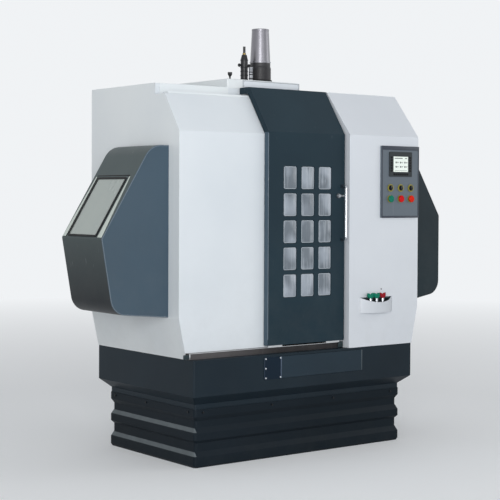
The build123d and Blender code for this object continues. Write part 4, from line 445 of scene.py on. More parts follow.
# Pale rims round the door's panes: a painted highlight
paneRimHighlight = moulded("paneRimHighlight", (168, 177, 186), (138, 147, 157), 0.25, coat=0.3)
paneAcrylic = hazedAcrylic("paneAcrylic", dark=(94, 104, 113), pale=(156, 165, 176), haze=(182, 190, 199))
doorPane = pane("doorPane", (168, 174, 178), (146, 153, 158), roughness=0.14, alpha=0.72, haze=0.2)
hoodPane = pane("hoodPane", (190, 200, 194), (160, 170, 166), roughness=0.1, alpha=0.7, haze=0.22)
displayGlow = litField("displayField", (228, 235, 229), (218, 227, 220), strength=0.2)

finishes = [
    (whitePaint, "left_side_panel right_side_panel back_panel roof_panel roof_box upper_rail cabinet_door"),
    (cabinetPaint, "electrical_cabinet"),
    (frontPaint, "front_panel"),
    (greyWhitePaint, "control_section"),
    (shadedPocketPaint, "valve_pocket"),
    (slatePaint, "left_hood"),
    (shadedSlatePaint, "right_hood"),
    (doorPaint, "door_panel"),
    (trayPaint, "tray"),
    (plateDark, "tray_plate"),
    (drawerPaint, "chip_drawer"),
    (standPaint, "pedestal"),
    (sillPaint, "lower_rail"),
    (controlPaint, "control_box"),
    (greenCast, "base_casting column head"),
    (machinedIron, "saddle table"),
    (motorBlack, "axis_motors x_motor spindle_motor"),
    (unitBlack, "air_unit"),
    (groundSteel, "linear_rails x_screw y_screw z_screw spindle"),
    (screwSteel, "cap_screws"),
    (handleChrome, "door_handle"),
    (latchSteel, "door_latch"),
    (chromeSteel, "valve_bodies"),
    (cowlSteel, "motor_cowl"),
    (alloy, "door_guides"),
    (blackRubber, "left_hood_gasket right_hood_gasket motor_skirt"),
    (bezelGrey, "screen_unit"),
    (blackPlastic, "selector_1 selector_2 selector_3 oil_cup"),
    (nylon, "door_roller_left door_roller_right"),
    (olivePlastic, "switch_collars"),
    (greenPlastic, "button_green valve_handle_1 valve_handle_2"),
    (redPlastic, "button_red"),
    (orangePlastic, "button_orange"),
    (darkRedPlastic, "valve_handle_3"),
    (hoodPane, "left_hood_glass right_hood_glass"),
    (doorPane, "door_glass"),
]
for finish, names in finishes:
    for name in names.split():
        for holder in nodes[name].material_slots:
            holder.material = finish
print("nodes given", len(finishes), "finishes")


# Makers' tools: a form is drawn in millimetres and turned into a piece in metres
def pick(spec, names):
    return (spec[name] for name in names.split())


def addObject(name, data):
    thing = bpy.data.objects.new(name, data)
    scene.collection.objects.link(thing)
    return thing


def block(bm, low, high):
    low, high = Vector(low), Vector(high)
    place = Matrix.Translation((low + high) / 2) @ Matrix.Diagonal((*(high - low), 1))
    return bmesh.ops.create_cube(bm, size=1.0, matrix=place)["verts"]


def rod(bm, start, end, radius, tip=None, sides=32):
    start, end = Vector(start), Vector(end)
    aim = (end - start).to_track_quat("Z", "Y").to_matrix().to_4x4()
    place = Matrix.Translation((start + end) / 2) @ aim
    return bmesh.ops.create_cone(
        bm,
        cap_ends=True,
        cap_tris=False,
        segments=sides,
        radius1=radius,
        radius2=radius if tip is None else tip,
        depth=(end - start).length,
        matrix=place,
    )["verts"]


def turned(bm, profile, centre, axis=(0, 0, 1), steps=48):
    # profile: (radius, height) points, spun about the axis through the centre
    aim = Vector(axis).to_track_quat("Z", "Y").to_matrix().to_4x4()
    place = Matrix.Translation(centre) @ aim
    points = [bm.verts.new(place @ Vector((radius, 0, height))) for radius, height in profile]
    line = [bm.edges.new(pair) for pair in zip(points, points[1:])]
    bmesh.ops.spin(
        bm,
        geom=points + line,
        cent=centre,
        axis=Vector(axis).normalized(),
        dvec=(0, 0, 0),
        angle=math.tau,
        steps=steps,
        use_merge=True,
        use_duplicate=False,
    )


def roundedPath(corners, steps=8):
    # corners: (point, radius); an arc of that radius takes the place of each corner
    path = []
    last = len(corners) - 1
    for count, (point, radius) in enumerate(corners):
        point = Vector(point)
        if count in (0, last) or not radius:
            path.append(point)
            continue
        back = (Vector(corners[count - 1][0]) - point).normalized()
        ahead = (Vector(corners[count + 1][0]) - point).normalized()
        half = back.angle(ahead) / 2
        centre = point + (back + ahead).normalized() * radius / math.sin(half)
        start = point + back * radius / math.tan(half) - centre
        turn = math.pi - 2 * half
        axis = start.cross(point + ahead * radius / math.tan(half) - centre).normalized()
        path += [centre + Matrix.Rotation(turn * step / steps, 3, axis) @ start for step in range(steps + 1)]
    return path


def sweep(bm, path, radius, sides=10):
    rings = []
    for count, point in enumerate(path):
        ahead = path[min(count + 1, len(path) - 1)] - path[max(count - 1, 0)]
        place = Matrix.Translation(point) @ ahead.to_track_quat("Z", "Y").to_matrix().to_4x4()
        ring = bmesh.ops.create_circle(bm, cap_ends=False, segments=sides, radius=radius, matrix=place)
        rings.append({edge for vert in ring["verts"] for edge in vert.link_edges})
    for first, second in zip(rings, rings[1:]):
        bmesh.ops.bridge_loops(bm, edges=list(first | second))
    for ring in (rings[0], rings[-1]):
        bmesh.ops.holes_fill(bm, edges=list(ring), sides=sides)


def bevel(bm, edges, size, segments):
    bmesh.ops.bevel(
        bm,
        geom=list(edges),
        offset=size,
        segments=segments,
        profile=0.5,
        affect="EDGES",
        material=-1,
        clamp_overlap=True,
    )


def soften(bm, verts, size, segments=2):
    edges = {edge for vert in verts for edge in vert.link_edges}
    sharp = [edge for edge in edges if edge.is_manifold and edge.calc_face_angle() > 0.5]
    bevel(bm, sharp, size, segments)


def pad(bm, low, high, size, segments=2):
    soften(bm, block(bm, low, high), size, segments)


# The four bars of an upright frame, as x and z of their corners
def frameBars(left, right, foot, top, side, sill, head):
    return (
        (left, foot, right, foot + sill),
        (left, top - head, right, top),
        (left, foot + sill, left + side, top - head),
        (right - side, foot + sill, right, top - head),
    )


def newPiece(name, bm, body, finish, slotName, turn=None):
    bmesh.ops.remove_doubles(bm, verts=bm.verts, dist=0.001)
    bmesh.ops.recalc_face_normals(bm, faces=bm.faces)
    if turn:
        bmesh.ops.transform(bm, matrix=turn, verts=bm.verts)
    bmesh.ops.scale(bm, vec=(0.001, 0.001, 0.001), verts=bm.verts)
    mesh = bpy.data.meshes.new(name)
    bm.to_mesh(mesh)
    bm.free()
    mesh.shade_smooth()
    mesh.set_sharp_from_angle(angle=math.radians(35))
    mesh.materials.append(finish)
    piece = addObject(name, mesh)
    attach(piece, body)


# Bare framed plate on the front of the roof box
roofPlate = {
    "left": -236, "right": 156, "foot": 1971, "top": 2008, "face": -172, "thick": 1.2, "round": 0.5,
    "rim": 3.2, "rimBack": 0.6, "proud": 2.4,
    "rivet": {"inset": (9, 8), "low": 1, "high": 2.6, "radius": 2.6, "tip": 1.8, "sides": 16},
}


def makeRoofPlate(spec):
    left, right, foot, top, face, rim = pick(spec, "left right foot top face rim")
    bm = bmesh.new()
    pad(bm, (left, face - spec["thick"], foot), (right, face, top), spec["round"])
    newPiece("roofPlate", bm, "frame", platePaint, "light_alloy")
    bm = bmesh.new()
    for x0, z0, x1, z1 in frameBars(left, right, foot, top, rim, rim, rim):
        block(bm, (x0, face - spec["proud"], z0), (x1, face - spec["rimBack"], z1))
    newPiece("roofPlateRim", bm, "frame", rimGrey, "light_alloy")
    bm = bmesh.new()
    rivet = spec["rivet"]
    inX, inZ = rivet["inset"]
    for x in (left + inX, right - inX):
        for z in (foot + inZ, top - inZ):
            ends = (x, face - rivet["low"], z), (x, face - rivet["high"], z)
            rod(bm, *ends, rivet["radius"], rivet["tip"], rivet["sides"])
    newPiece("roofPlateRivets", bm, "frame", groundSteel, "steel")


makeRoofPlate(roofPlate)

# Hood windows: a rubber lip outside the gasket, and a pale strip
# that widens towards the foot of each long side, a painted reflection on the hood's sheet
hoodLipAndReflection = {
    "left": {"high": (-907, 1640), "low": (-1196, 1170), "foot": 1178, "top": 1475, "side": -1},
    "right": {"high": (907, 1640), "low": (1131, 1275), "foot": 1310, "top": 1500, "side": 1},
    "windowFront": -241, "windowBack": 41, "gasket": 9, "lip": 5, "lipThick": 1.3, "lipRound": 0.5,
    "narrow": 9,
    "wide": (40, 30),
    "thick": 1.6, "round": 0.7, "sink": 0.4, "over": 5, "footOver": 2,
}


def makeHoodLipAndReflection(spec, name):
    hood = spec[name]
    high, low = (Vector((hood[key][0], 0, hood[key][1])) for key in ("high", "low"))
    run = (low - high).normalized()
    outward = Vector((-run.z, 0, run.x)) * hood["side"]
    across = outward.cross(run)
    start, end = ((high.z - hood[key]) / (high.z - low.z) * (low - high).length for key in ("top", "foot"))
    turn = Matrix.Translation(high) @ Matrix((run, across, outward)).transposed().to_4x4()
    inner, lip = spec["gasket"], spec["gasket"] + spec["lip"]
    sink, past = -spec["sink"], end + spec["footOver"]
    front, back = sorted((spec["windowFront"] * across.y, spec["windowBack"] * across.y))
    bm = bmesh.new()
    for near, far in (
        ((start - lip, front - lip), (start - inner, back + lip)),
        ((start - inner, front - lip), (past, front - inner)),
        ((start - inner, back + inner), (past, back + lip)),
    ):
        pad(bm, (*near, sink), (*far, spec["lipThick"]), spec["lipRound"])
    newPiece(name + "HoodLip", bm, "frame", blackRubber, "black_rubber", turn)
    # The pale strips stand in for a reflection on the hood's sheet: painted reflection
    bm = bmesh.new()
    wides = spec["wide"] if across.y > 0 else spec["wide"][::-1]
    for edge, side, wide in ((front - lip, -1, wides[0]), (back + lip, 1, wides[1])):
        y0, y1 = sorted((edge, edge + side * wide))
        verts = block(bm, (start - spec["over"], y0, sink), (past, y1, spec["thick"]))
        for vert in verts:
            if vert.co.x < start and abs(vert.co.y - edge) > 1:
                vert.co.y = edge + side * spec["narrow"]
        soften(bm, verts, spec["round"])
    newPiece(name + "HoodTrim", bm, "frame", reflectionAlloy, "light_alloy", turn)


makeHoodLipAndReflection(hoodLipAndReflection, "left")
makeHoodLipAndReflection(hoodLipAndReflection, "right")

# Rolled bead along the front edge of each hood, through corners given as x, z and radius
hoodBead = {
    "front": -298.6, "radius": 2.6, "steps": 12,
    "left": [
        (-802, 1636.4, 0), (-905, 1636.4, 107), (-1191.8, 1170, 12), (-1126.6, 796.8, 87), (-802, 767.4, 0),
    ],
    "right": [
        (802, 1636.4, 0), (905, 1636.4, 107), (1128, 1275.4, 10), (1128, 824.4, 82), (802, 767.4, 0),
    ],
}


def makeHoodBead(spec, side, finish):
    bm = bmesh.new()
    corners = [((x, spec["front"], z), radius) for x, z, radius in spec[side]]
    sweep(bm, roundedPath(corners, spec["steps"]), spec["radius"])
    newPiece(side + "HoodBead", bm, "frame", finish, "slate_paint")


# The left bead is painted lighter than its hood, a painted highlight; the right bead has its hood's darker
# paint, a painted shade
makeHoodBead(hoodBead, "left", slateHighlight)
makeHoodBead(hoodBead, "right", shadedSlatePaint)
print("roof plate and hood trims made")

# The display, its plain marks and the membrane keys round it
display = {
    "left": 593, "right": 705, "foot": 1524, "top": 1610, "face": -476.2, "sink": 0.3, "thick": 0.5,
    "round": 0.2,
    "mark": {"margin": 8, "proud": 0.15, "title": 0.62, "clock": 24, "line": (8, 12), "footLine": (7, 8.4)},
    "cell": {
        "columns": (0.14, 0.44, 0.74),
        "rows": (0.28, 0.56),
        "marks": ((0, 0, 9, 9), (12, 5.4, 25, 7.6), (12, 1.4, 21, 3.4)),
    },
    "key": {"face": -478, "proud": 1.1, "sink": 0.2, "half": 7, "squat": 0.8, "round": 0.7, "margin": 6},
    "sideKeys": 6, "footKeys": 7,
    "keyColumns": (721, 577),
    "footRow": 1510,
}


def makeDisplay(spec):
    left, right, foot, top, mark, cell, key = pick(spec, "left right foot top mark cell key")
    wide, tall = right - left, top - foot
    face = spec["face"] - spec["thick"]
    bm = bmesh.new()
    pad(bm, (left, face, foot), (right, spec["face"] + spec["sink"], top), spec["round"], 1)
    newPiece("display", bm, "frame", displayGlow, "clear_glass")
    margin, (high, low) = mark["margin"], mark["line"]
    marks = [
        (left + margin, top - low, left + mark["title"] * wide, top - high),
        (right - mark["clock"], top - low, right - margin, top - high),
    ]
    for row in cell["rows"]:
        for column in cell["columns"]:
            x, z = left + wide * column, foot + tall * row
            marks += [(x + x0, z + z0, x + x1, z + z1) for x0, z0, x1, z1 in cell["marks"]]
    marks.append((left + margin, foot + mark["footLine"][0], right - margin, foot + mark["footLine"][1]))
    bm = bmesh.new()
    for x0, z0, x1, z1 in marks:
        block(bm, (x0, face - mark["proud"], z0), (x1, face, z1))
    newPiece("displayMarks", bm, "frame", markGrey, "black_plastic")
    inset = key["margin"]
    spots = []
    for count in range(spec["sideKeys"]):
        z = foot + inset + (tall - 2 * inset) * count / (spec["sideKeys"] - 1)
        spots += [(x, z) for x in spec["keyColumns"]]
    for count in range(spec["footKeys"]):
        spots.append((left + inset + (wide - 2 * inset) * count / (spec["footKeys"] - 1), spec["footRow"]))
    bm = bmesh.new()
    half, rise = key["half"], key["half"] * key["squat"]
    front, back = key["face"] - key["proud"], key["face"] + key["sink"]
    for x, z in spots:
        pad(bm, (x - half, front, z - rise), (x + half, back, z + rise), key["round"])
    newPiece("membraneKeys", bm, "frame", keyDark, "black_plastic")


makeDisplay(display)

# Pointer line on each selector's grip
pointer = {
    "columns": {"selector_left": 572, "selector_middle": 650, "selector_right": 728},
    "foot": 1436.5, "face": -486.3, "deep": 0.3, "long": 8, "wide": 1.2, "round": 0.2,
}


def makePointers(spec):
    half, deep = spec["wide"] / 2, spec["deep"]
    for body, x in spec["columns"].items():
        bm = bmesh.new()
        low = (x - half, spec["face"] - deep, spec["foot"])
        high = (x + half, spec["face"] + deep, spec["foot"] + spec["long"])
        pad(bm, low, high, spec["round"], 1)
        newPiece(body + "_pointer", bm, body, rimGrey, "white_paint")


makePointers(pointer)

# Single domed screw above the valve pocket; the profile is radius and height
panelScrew = {
    "place": (520, -461, 870),
    "profile": ((0, 1.6), (2.4, 1.4), (4.2, 0.4), (4.2, -0.3), (0, -0.3)),
    "steps": 20,
}


def makePanelScrew(spec):
    bm = bmesh.new()
    turned(bm, spec["profile"], spec["place"], (0, -1, 0), spec["steps"])
    newPiece("panelScrew", bm, "frame", boltSteel, "steel")


makePanelScrew(panelScrew)

# Folded corner of the control section beside the door
sectionEdge = {"corner": (283, -460), "foot": 592, "top": 1714, "radius": 1.6}


def makeSectionEdge(spec):
    bm = bmesh.new()
    rod(bm, (*spec["corner"], spec["foot"]), (*spec["corner"], spec["top"]), spec["radius"], sides=16)
    newPiece("sectionEdge", bm, "frame", platePaint, "white_paint")


makeSectionEdge(sectionEdge)

# Raised rim of the control box, thicker along its top; that wider band is partly a painted shade on the box's
# top bevel
controlRim = {
    "left": 506.6, "right": 793.4, "foot": 1266.6, "top": 1668.4, "side": 7.5, "sill": 11,
    "head": 22, "face": -473, "proud": 2.0, "sink": 0.4, "round": 0.8,
}


def makeControlRim(spec):
    front, back = spec["face"] - spec["proud"], spec["face"] + spec["sink"]
    bm = bmesh.new()
    for x0, z0, x1, z1 in frameBars(*pick(spec, "left right foot top side sill head")):
        pad(bm, (x0, front, z0), (x1, back, z1), spec["round"])
    newPiece("controlRim", bm, "frame", rimSlate, "control_paint")


makeControlRim(controlRim)

# Valve pocket: a dark liner in its recess, a painted shade, given by x and z of its corners
pocketShadeLiner = {
    "outer": (358.1, 745.2, 596.9, 827.4),
    "inner": (364.5, 751.5, 590.5, 818.5),
    "back": -422, "wall": -464, "thick": 0.5, "sink": 0.1,
}


def makePocketShadeLiner(spec):
    bm = bmesh.new()
    left, foot, right, top = spec["outer"]
    x0, z0, x1, z1 = spec["inner"]
    back, wall, thick, sink = pick(spec, "back wall thick sink")
    block(bm, (x0, back - thick, z0), (x1, back + sink, z1))
    for x in (x0, x1 - thick):
        block(bm, (x, wall, z0), (x + thick, back - thick, z1))
    for low, high in (((left, z1), (right, top)), ((left, foot), (x0, z1)), ((x1, foot), (right, z1))):
        block(bm, (low[0], wall - thick, low[1]), (high[0], wall + sink, high[1]))
    newPiece("pocketShadeLiner", bm, "frame", pocketShadeAndRailEndGrey, "black_plastic")


makePocketShadeLiner(pocketShadeLiner)

# Rounded lobes of the valves' butterfly handles
valveGrips = {
    "columns": {"valve_left": 418, "valve_middle": 463.5, "valve_right": 509},
    "y": -484, "z": 840.5, "spread": 11.5,
    "lobe": (9.2, 6.6, 10.6),
    "segments": 20, "rings": 12,
}


def makeValveGrips(spec):
    for body, middle in spec["columns"].items():
        bm = bmesh.new()
        for x in (middle - spec["spread"], middle + spec["spread"]):
            place = Matrix.Translation((x, spec["y"], spec["z"])) @ Matrix.Diagonal((*spec["lobe"], 1))
            bmesh.ops.create_uvsphere(
                bm, u_segments=spec["segments"], v_segments=spec["rings"], radius=1.0, matrix=place
            )
        red = body == "valve_right"
        look = (darkRedPlastic, "red_plastic") if red else (greenPlastic, "green_plastic")
        newPiece(body + "_grips", bm, body, *look)


makeValveGrips(valveGrips)
print("control box and valve pocket dressed")

# Folded edges of the tray's plate and of the drawer's front, painted lighter as painted highlights, from x
# and z to x and z
trayEdges = {
    "plate": (-198, 427, -191, 542),
    "plateLeft": (-306, 428, -304.4, 541),
    "drawer": (373, 429, 380, 540),
    "plateFace": -464, "drawerFace": -461, "proud": 1.4, "sink": 0.3, "round": 0.6,
}


def makeTrayEdges(spec):
    for name, body, face, finish in (
        ("plate", "frame", spec["plateFace"], plateEdgeHighlight),
        ("plateLeft", "frame", spec["plateFace"], plateEdgeHighlight),
        ("drawer", "drawer", spec["drawerFace"], drawerEdgeHighlight),
    ):
        x0, z0, x1, z1 = spec[name]
        bm = bmesh.new()
        pad(bm, (x0, face - spec["proud"], z0), (x1, face + spec["sink"], z1), spec["round"])
        newPiece(name + "Edge", bm, body, finish, "dark_paint")


makeTrayEdges(trayEdges)

# Return flange of the front sheet, lapped over the left side wall
cornerFlange = {
    "front": -395.6, "back": -330, "foot": 768, "knee": 1712, "kneeDrop": 8, "top": 1908,
    "lean": 134, "wall": -800, "thick": 0.8,
}


def makeCornerFlange(spec):
    front, back, foot, knee, top = pick(spec, "front back foot knee top")
    outline = [(front, foot), (front, knee), (front + spec["lean"], top), (back + spec["lean"], top)]
    outline += [(back, knee - spec["kneeDrop"]), (back, foot)]
    bm = bmesh.new()
    sheet = bm.faces.new([bm.verts.new((spec["wall"], y, z)) for y, z in outline])
    grown = bmesh.ops.extrude_face_region(bm, geom=[sheet])["geom"]
    moved = [part for part in grown if isinstance(part, bmesh.types.BMVert)]
    bmesh.ops.translate(bm, vec=(-spec["thick"], 0, 0), verts=moved)
    newPiece("cornerFlangeLeft", bm, "frame", whitePaint, "white_paint")


makeCornerFlange(cornerFlange)

# Spindle motor: ribs round the dark body, rolled rims and screws on the cowl.
# A profile gives radius and height beyond the radius and the level that it is set at.
motor = {
    "centre": (0, -20),
    "bodyRadius": 59, "ribFoot": 2040, "ribTop": 2094, "ribs": 7,
    "ribProfile": ((-0.4, -2.4), (1.6, -1.6), (1.6, 1.6), (-0.4, 2.4)),
    "cowlFoot": 2125, "footRadius": 56.5,
    "footProfile": ((-1, 1), (1.4, 1.6), (1.6, 5), (1.2, 8.4), (-1, 9)),
    "cowlTop": 2315, "topRadius": 47.5,
    "topProfile": ((-1, -10), (1.0, -9), (1.2, -5), (0.6, -1), (-1, -0.4)),
    "screw": {
        "count": 6, "turn": 0.3, "rise": 5, "sink": 0.8, "long": 2.6, "radius": 3.0, "tip": 2.4, "sides": 16,
    },
}


def hoop(bm, profile, radius, height, centre, steps=48):
    turned(bm, [(radius + out, height + up) for out, up in profile], (*centre, 0), steps=steps)


def makeMotorTrim(spec):
    centre, foot, screw = pick(spec, "centre footRadius screw")
    bm = bmesh.new()
    for count in range(spec["ribs"]):
        height = spec["ribFoot"] + (spec["ribTop"] - spec["ribFoot"]) * count / (spec["ribs"] - 1)
        hoop(bm, spec["ribProfile"], spec["bodyRadius"], height, centre)
    newPiece("motorRibs", bm, "head_body", motorBlack, "motor_black")
    bm = bmesh.new()
    hoop(bm, spec["footProfile"], foot, spec["cowlFoot"], centre)
    hoop(bm, spec["topProfile"], spec["topRadius"], spec["cowlTop"], centre)
    newPiece("cowlRims", bm, "head_body", cowlSteel, "steel")
    bm = bmesh.new()
    for count in range(screw["count"]):
        angle = math.tau * count / screw["count"] + screw["turn"]
        out = Vector((math.cos(angle), math.sin(angle), 0))
        place = Vector((*centre, spec["cowlFoot"] + screw["rise"])) + out * (foot + screw["sink"])
        rod(bm, place, place + out * screw["long"], screw["radius"], screw["tip"], screw["sides"])
    newPiece("cowlScrews", bm, "head_body", chromeSteel, "steel")


makeMotorTrim(motor)

# Air unit beside the motor: rings, a cross arm with hexagonal ends, a fitting,
# and a bright bowl with dark bands
airUnit = {
    "centre": (-112, -20),
    "radius": 20,
    "rings": (2030, 2052, 2074, 2096, 2136),
    "ringProfile": ((-0.5, -3), (1.8, -2.2), (1.8, 2.2), (-0.5, 3)),
    "arm": 2107, "reach": 37,
    "endLong": (7, 1),
    "endRadius": 9.5,
    "fitting": (2167, 2175),
    "bowl": (-108, -76),
    "bowlFoot": 2014, "bowlTop": 2092,
    "bowlFootProfile": ((0, 0), (12.4, 0), (12.4, 6), (11.4, 8)),
    "bowlTopProfile": ((11.4, -8), (12.6, -6), (12.6, 0), (8, 3), (0, 3)),
    "bands": (0.22, 0.5, 0.66),
    "bandProfile": ((10, -3.2), (12.2, -2.6), (12.2, 2.6), (10, 3.2)),
    "steps": 32,
}


def makeAirUnitTrim(spec):
    x, y = spec["centre"]
    radius, steps = spec["endRadius"], spec["steps"]
    bm = bmesh.new()
    for height in spec["rings"]:
        hoop(bm, spec["ringProfile"], spec["radius"], height, spec["centre"], steps)
    newPiece("airUnitRings", bm, "frame", blackPlastic, "black_plastic")
    bm = bmesh.new()
    inward, outward = spec["endLong"]
    for side in (-1, 1):
        reach = x + side * spec["reach"]
        ends = (reach - side * inward, y, spec["arm"]), (reach + side * outward, y, spec["arm"])
        rod(bm, *ends, radius, radius, 6)
    newPiece("airUnitEnds", bm, "frame", blackPlastic, "black_plastic")
    bm = bmesh.new()
    low, high = spec["fitting"]
    rod(bm, (x, y, low), (x, y, high), radius, radius, 6)
    newPiece("airUnitFitting", bm, "frame", brass, "machined_iron")
    foot, top = spec["bowlFoot"], spec["bowlTop"]
    profile = [(out, foot + up) for out, up in spec["bowlFootProfile"]]
    profile += [(out, top + up) for out, up in spec["bowlTopProfile"]]
    bm = bmesh.new()
    turned(bm, profile, (*spec["bowl"], 0), steps=steps)
    newPiece("airUnitBowl", bm, "frame", bowlAlloy, "light_alloy")
    bm = bmesh.new()
    for share in spec["bands"]:
        hoop(bm, spec["bandProfile"], 0, foot + (top - foot) * share, spec["bowl"], steps)
    newPiece("airUnitBands", bm, "frame", blackPlastic, "black_plastic")


makeAirUnitTrim(airUnit)
print("motor and air unit dressed")

# Lower door rail: a bright running edge, two dark end pieces and a bright strip on the left one's edge, a
# painted highlight.
# Each is given by its lowest corner, its highest corner, its rounding and that rounding's segments.
railTrim = {
    "railEdge": {
        "finish": alloy,
        "slot": "light_alloy",
        "pads": [((-748, -413, 584.2), (281, -411.4, 587.6), 0.4, 1)],
    },
    "railEnds": {
        "finish": pocketShadeAndRailEndGrey,
        "slot": "dark_paint",
        "pads": [
            ((-785, -416, 559), (-748, -412.5, 582), 1.2, 2),
            ((242, -418, 557), (277, -412.5, 590), 1.5, 2),
        ],
    },
    "railEndHighlight": {
        "finish": alloy,
        "slot": "light_alloy",
        "pads": [((-749, -416.4, 558.4), (-743, -412.5, 584), 0.8, 2)],
    },
}


def makeRailTrim(spec):
    for name, trim in spec.items():
        bm = bmesh.new()
        for low, high, size, segments in trim["pads"]:
            pad(bm, low, high, size, segments)
        newPiece(name, bm, "frame", trim["finish"], trim["slot"])


makeRailTrim(railTrim)

# Door: folded left edge with its bead, both painted lighter than the door's front as painted light, and the
# latch's plate
doorTrim = {
    "edge": ((-262.8, -433, 600), (-261.8, -401, 1720)),
    "bead": ((-261.4, -433.4, 630), (-261.4, -433.4, 1716)),
    "beadRadius": 1.5, "beadSides": 12,
    "latch": (222, -434, 1388),
    "latchProfile": ((0, 2.4), (9, 2.4), (12, 1.4), (13, -0.3), (0, -0.3)),
    "latchSteps": 32,
}


def makeDoorTrim(spec):
    bm = bmesh.new()
    block(bm, *spec["edge"])
    newPiece("doorEdge", bm, "door", litDoorEdgePaint, "dark_paint")
    bm = bmesh.new()
    rod(bm, *spec["bead"], spec["beadRadius"], sides=spec["beadSides"])
    newPiece("doorEdgeBead", bm, "door", slateHighlight, "slate_paint")
    bm = bmesh.new()
    turned(bm, spec["latchProfile"], spec["latch"], (0, -1, 0), spec["latchSteps"])
    newPiece("latchPlate", bm, "door", boltSteel, "chrome_steel")


makeDoorTrim(doorTrim)

# Door windows: a crowned acrylic pane in each opening, with a pale rim round it that is a painted highlight
doorWindows = {
    "columns": (-113, 8, 129),
    "rows": (1483, 1339.4, 1195.8, 1052.2, 908.6),
    "wide": 86, "tall": 119, "round": 9, "face": -431.4, "back": -427.5, "rim": 3.2,
    "paneProud": 0.3, "paneSink": 1, "crown": 0.8,
}


def windowPlate(bm, middle, size, face, back, corner):
    (x, z), (wide, tall) = middle, size
    verts = block(bm, (x - wide / 2, face, z - tall / 2), (x + wide / 2, back, z + tall / 2))
    edges = {edge for vert in verts for edge in vert.link_edges}
    bevel(bm, [edge for edge in edges if abs((edge.verts[0].co - edge.verts[1].co).y) > 0.1], corner, 4)


def makeDoorWindows(spec):
    rims, panes = bmesh.new(), bmesh.new()
    wide, tall, rim, face, back = pick(spec, "wide tall rim face back")
    inner = (wide - 2 * rim, tall - 2 * rim)
    for x in spec["columns"]:
        for z in spec["rows"]:
            windowPlate(rims, (x, z), (wide, tall), face, back, spec["round"])
            paneFace, paneBack = face - spec["paneProud"], back - spec["paneSink"]
            windowPlate(panes, (x, z), inner, paneFace, paneBack, spec["round"] - rim)
    for bm in (rims, panes):
        outlines = [side for side in bm.faces if len(side.verts) > 4]
        fronts = [side for side in outlines if side.calc_center_median().y < face + 0.1]
        bevel(bm, {edge for side in fronts for edge in side.edges}, spec["crown"], 2)
    newPiece("doorPaneRimHighlights", rims, "door", paneRimHighlight, "clear_glass")
    newPiece("doorPanes", panes, "door", paneAcrylic, "clear_glass")


makeDoorWindows(doorWindows)

# Louvres on the electrical cabinet's door
louvre = {
    "columns": (-165, 165),
    "wide": 236, "foot": 927, "rows": 7, "pitch": 28, "face": 655.3, "sink": 0.2, "deep": 5.8,
    "edge": 0.8, "taper": 9, "tall": 15, "round": 1.0,
}


def makeLouvres(spec):
    bm = bmesh.new()
    half, face = spec["wide"] / 2, spec["face"]
    for middle in spec["columns"]:
        for row in range(spec["rows"]):
            z = spec["foot"] + spec["pitch"] * row
            low = (middle - half, face - spec["sink"], z)
            verts = block(bm, low, (middle + half, face + spec["deep"], z + spec["tall"]))
            for vert in verts:
                if vert.co.y > face and vert.co.z > z + 1:
                    vert.co.y = face + spec["edge"]
                elif vert.co.y > face:
                    vert.co.x += spec["taper"] if vert.co.x < middle else -spec["taper"]
            soften(bm, verts, spec["round"])
    newPiece("cabinetLouvres", bm, "cabinet_door_body", whitePaint, "white_paint")


makeLouvres(louvre)

# Vents and plugs of the drives, and the terminal ways, in the electrical cabinet
driveTrim = {
    "columns": (-195, -65, 65, 195),
    "face": 573.3, "sink": 0.3, "wide": 62, "proud": 1.6, "round": 0.6,
    "vents": {"foot": 1382, "rows": 8, "pitch": 11, "tall": 5, "proud": 0.7, "round": 0.3},
    "plugs": ((1318, 1352), (1240, 1268)),
    "ways": {"count": 26, "pitch": 19.4, "wide": 13, "low": 1077, "high": 1113},
    "screw": {"inset": 10, "proud": 2.2, "radius": 3.0, "sides": 16},
}


def makeDriveTrim(spec):
    face, proud, sink, vents, ways, screw = pick(spec, "face proud sink vents ways screw")
    half = spec["wide"] / 2
    bm = bmesh.new()
    for middle in spec["columns"]:
        for row in range(vents["rows"]):
            foot = vents["foot"] + vents["pitch"] * row
            high = (middle + half, face + vents["proud"], foot + vents["tall"])
            pad(bm, (middle - half, face - sink, foot), high, vents["round"], 1)
        for low, high in spec["plugs"]:
            pad(bm, (middle - half, face - sink, low), (middle + half, face + proud, high), spec["round"])
    newPiece("driveVents", bm, "frame", keyDark, "black_plastic")
    bm = bmesh.new()
    half = ways["wide"] / 2
    for way in range(ways["count"]):
        x = (way - (ways["count"] - 1) / 2) * ways["pitch"]
        pad(bm, (x - half, face - sink, ways["low"]), (x + half, face + proud, ways["high"]), spec["round"])
        for z in (ways["low"] + screw["inset"], ways["high"] - screw["inset"]):
            rod(bm, (x, face, z), (x, face + screw["proud"], z), screw["radius"], sides=screw["sides"])
    newPiece("driveTerminals", bm, "frame", rimGrey, "white_paint")


makeDriveTrim(driveTrim)
print("tray, rails, door and cabinet dressed")

# Camera at the photograph's place, in metres and degrees
cameraPlace = {
    "location": (-4.618, -5.982, 1.378),
    "yaw": -37.36, "down": 1.21, "roll": 0.27, "focal": 1346.95, "centreUp": 24.3, "frame": 500,
    "sensor": 36.0,
}


def placeCamera(spec):
    yaw, down, roll = map(math.radians, pick(spec, "yaw down roll"))
    right = Vector((math.cos(yaw), math.sin(yaw), 0))
    ahead = Vector((-math.sin(yaw) * math.cos(down), math.cos(yaw) * math.cos(down), -math.sin(down)))
    up = right.cross(ahead)
    across = right * math.cos(roll) + up * math.sin(roll)
    upright = up * math.cos(roll) - right * math.sin(roll)
    data = bpy.data.cameras.new("photoCamera")
    data.sensor_width = spec["sensor"]
    data.sensor_height = spec["sensor"]
    data.lens = spec["focal"] / spec["frame"] * spec["sensor"]
    data.shift_y = -spec["centreUp"] / spec["frame"]
    camera = addObject("photoCamera", data)
    turn = Matrix((across, upright, -ahead)).transposed().to_4x4()
    camera.matrix_world = Matrix.Translation(spec["location"]) @ turn
    scene.camera = camera


placeCamera(cameraPlace)

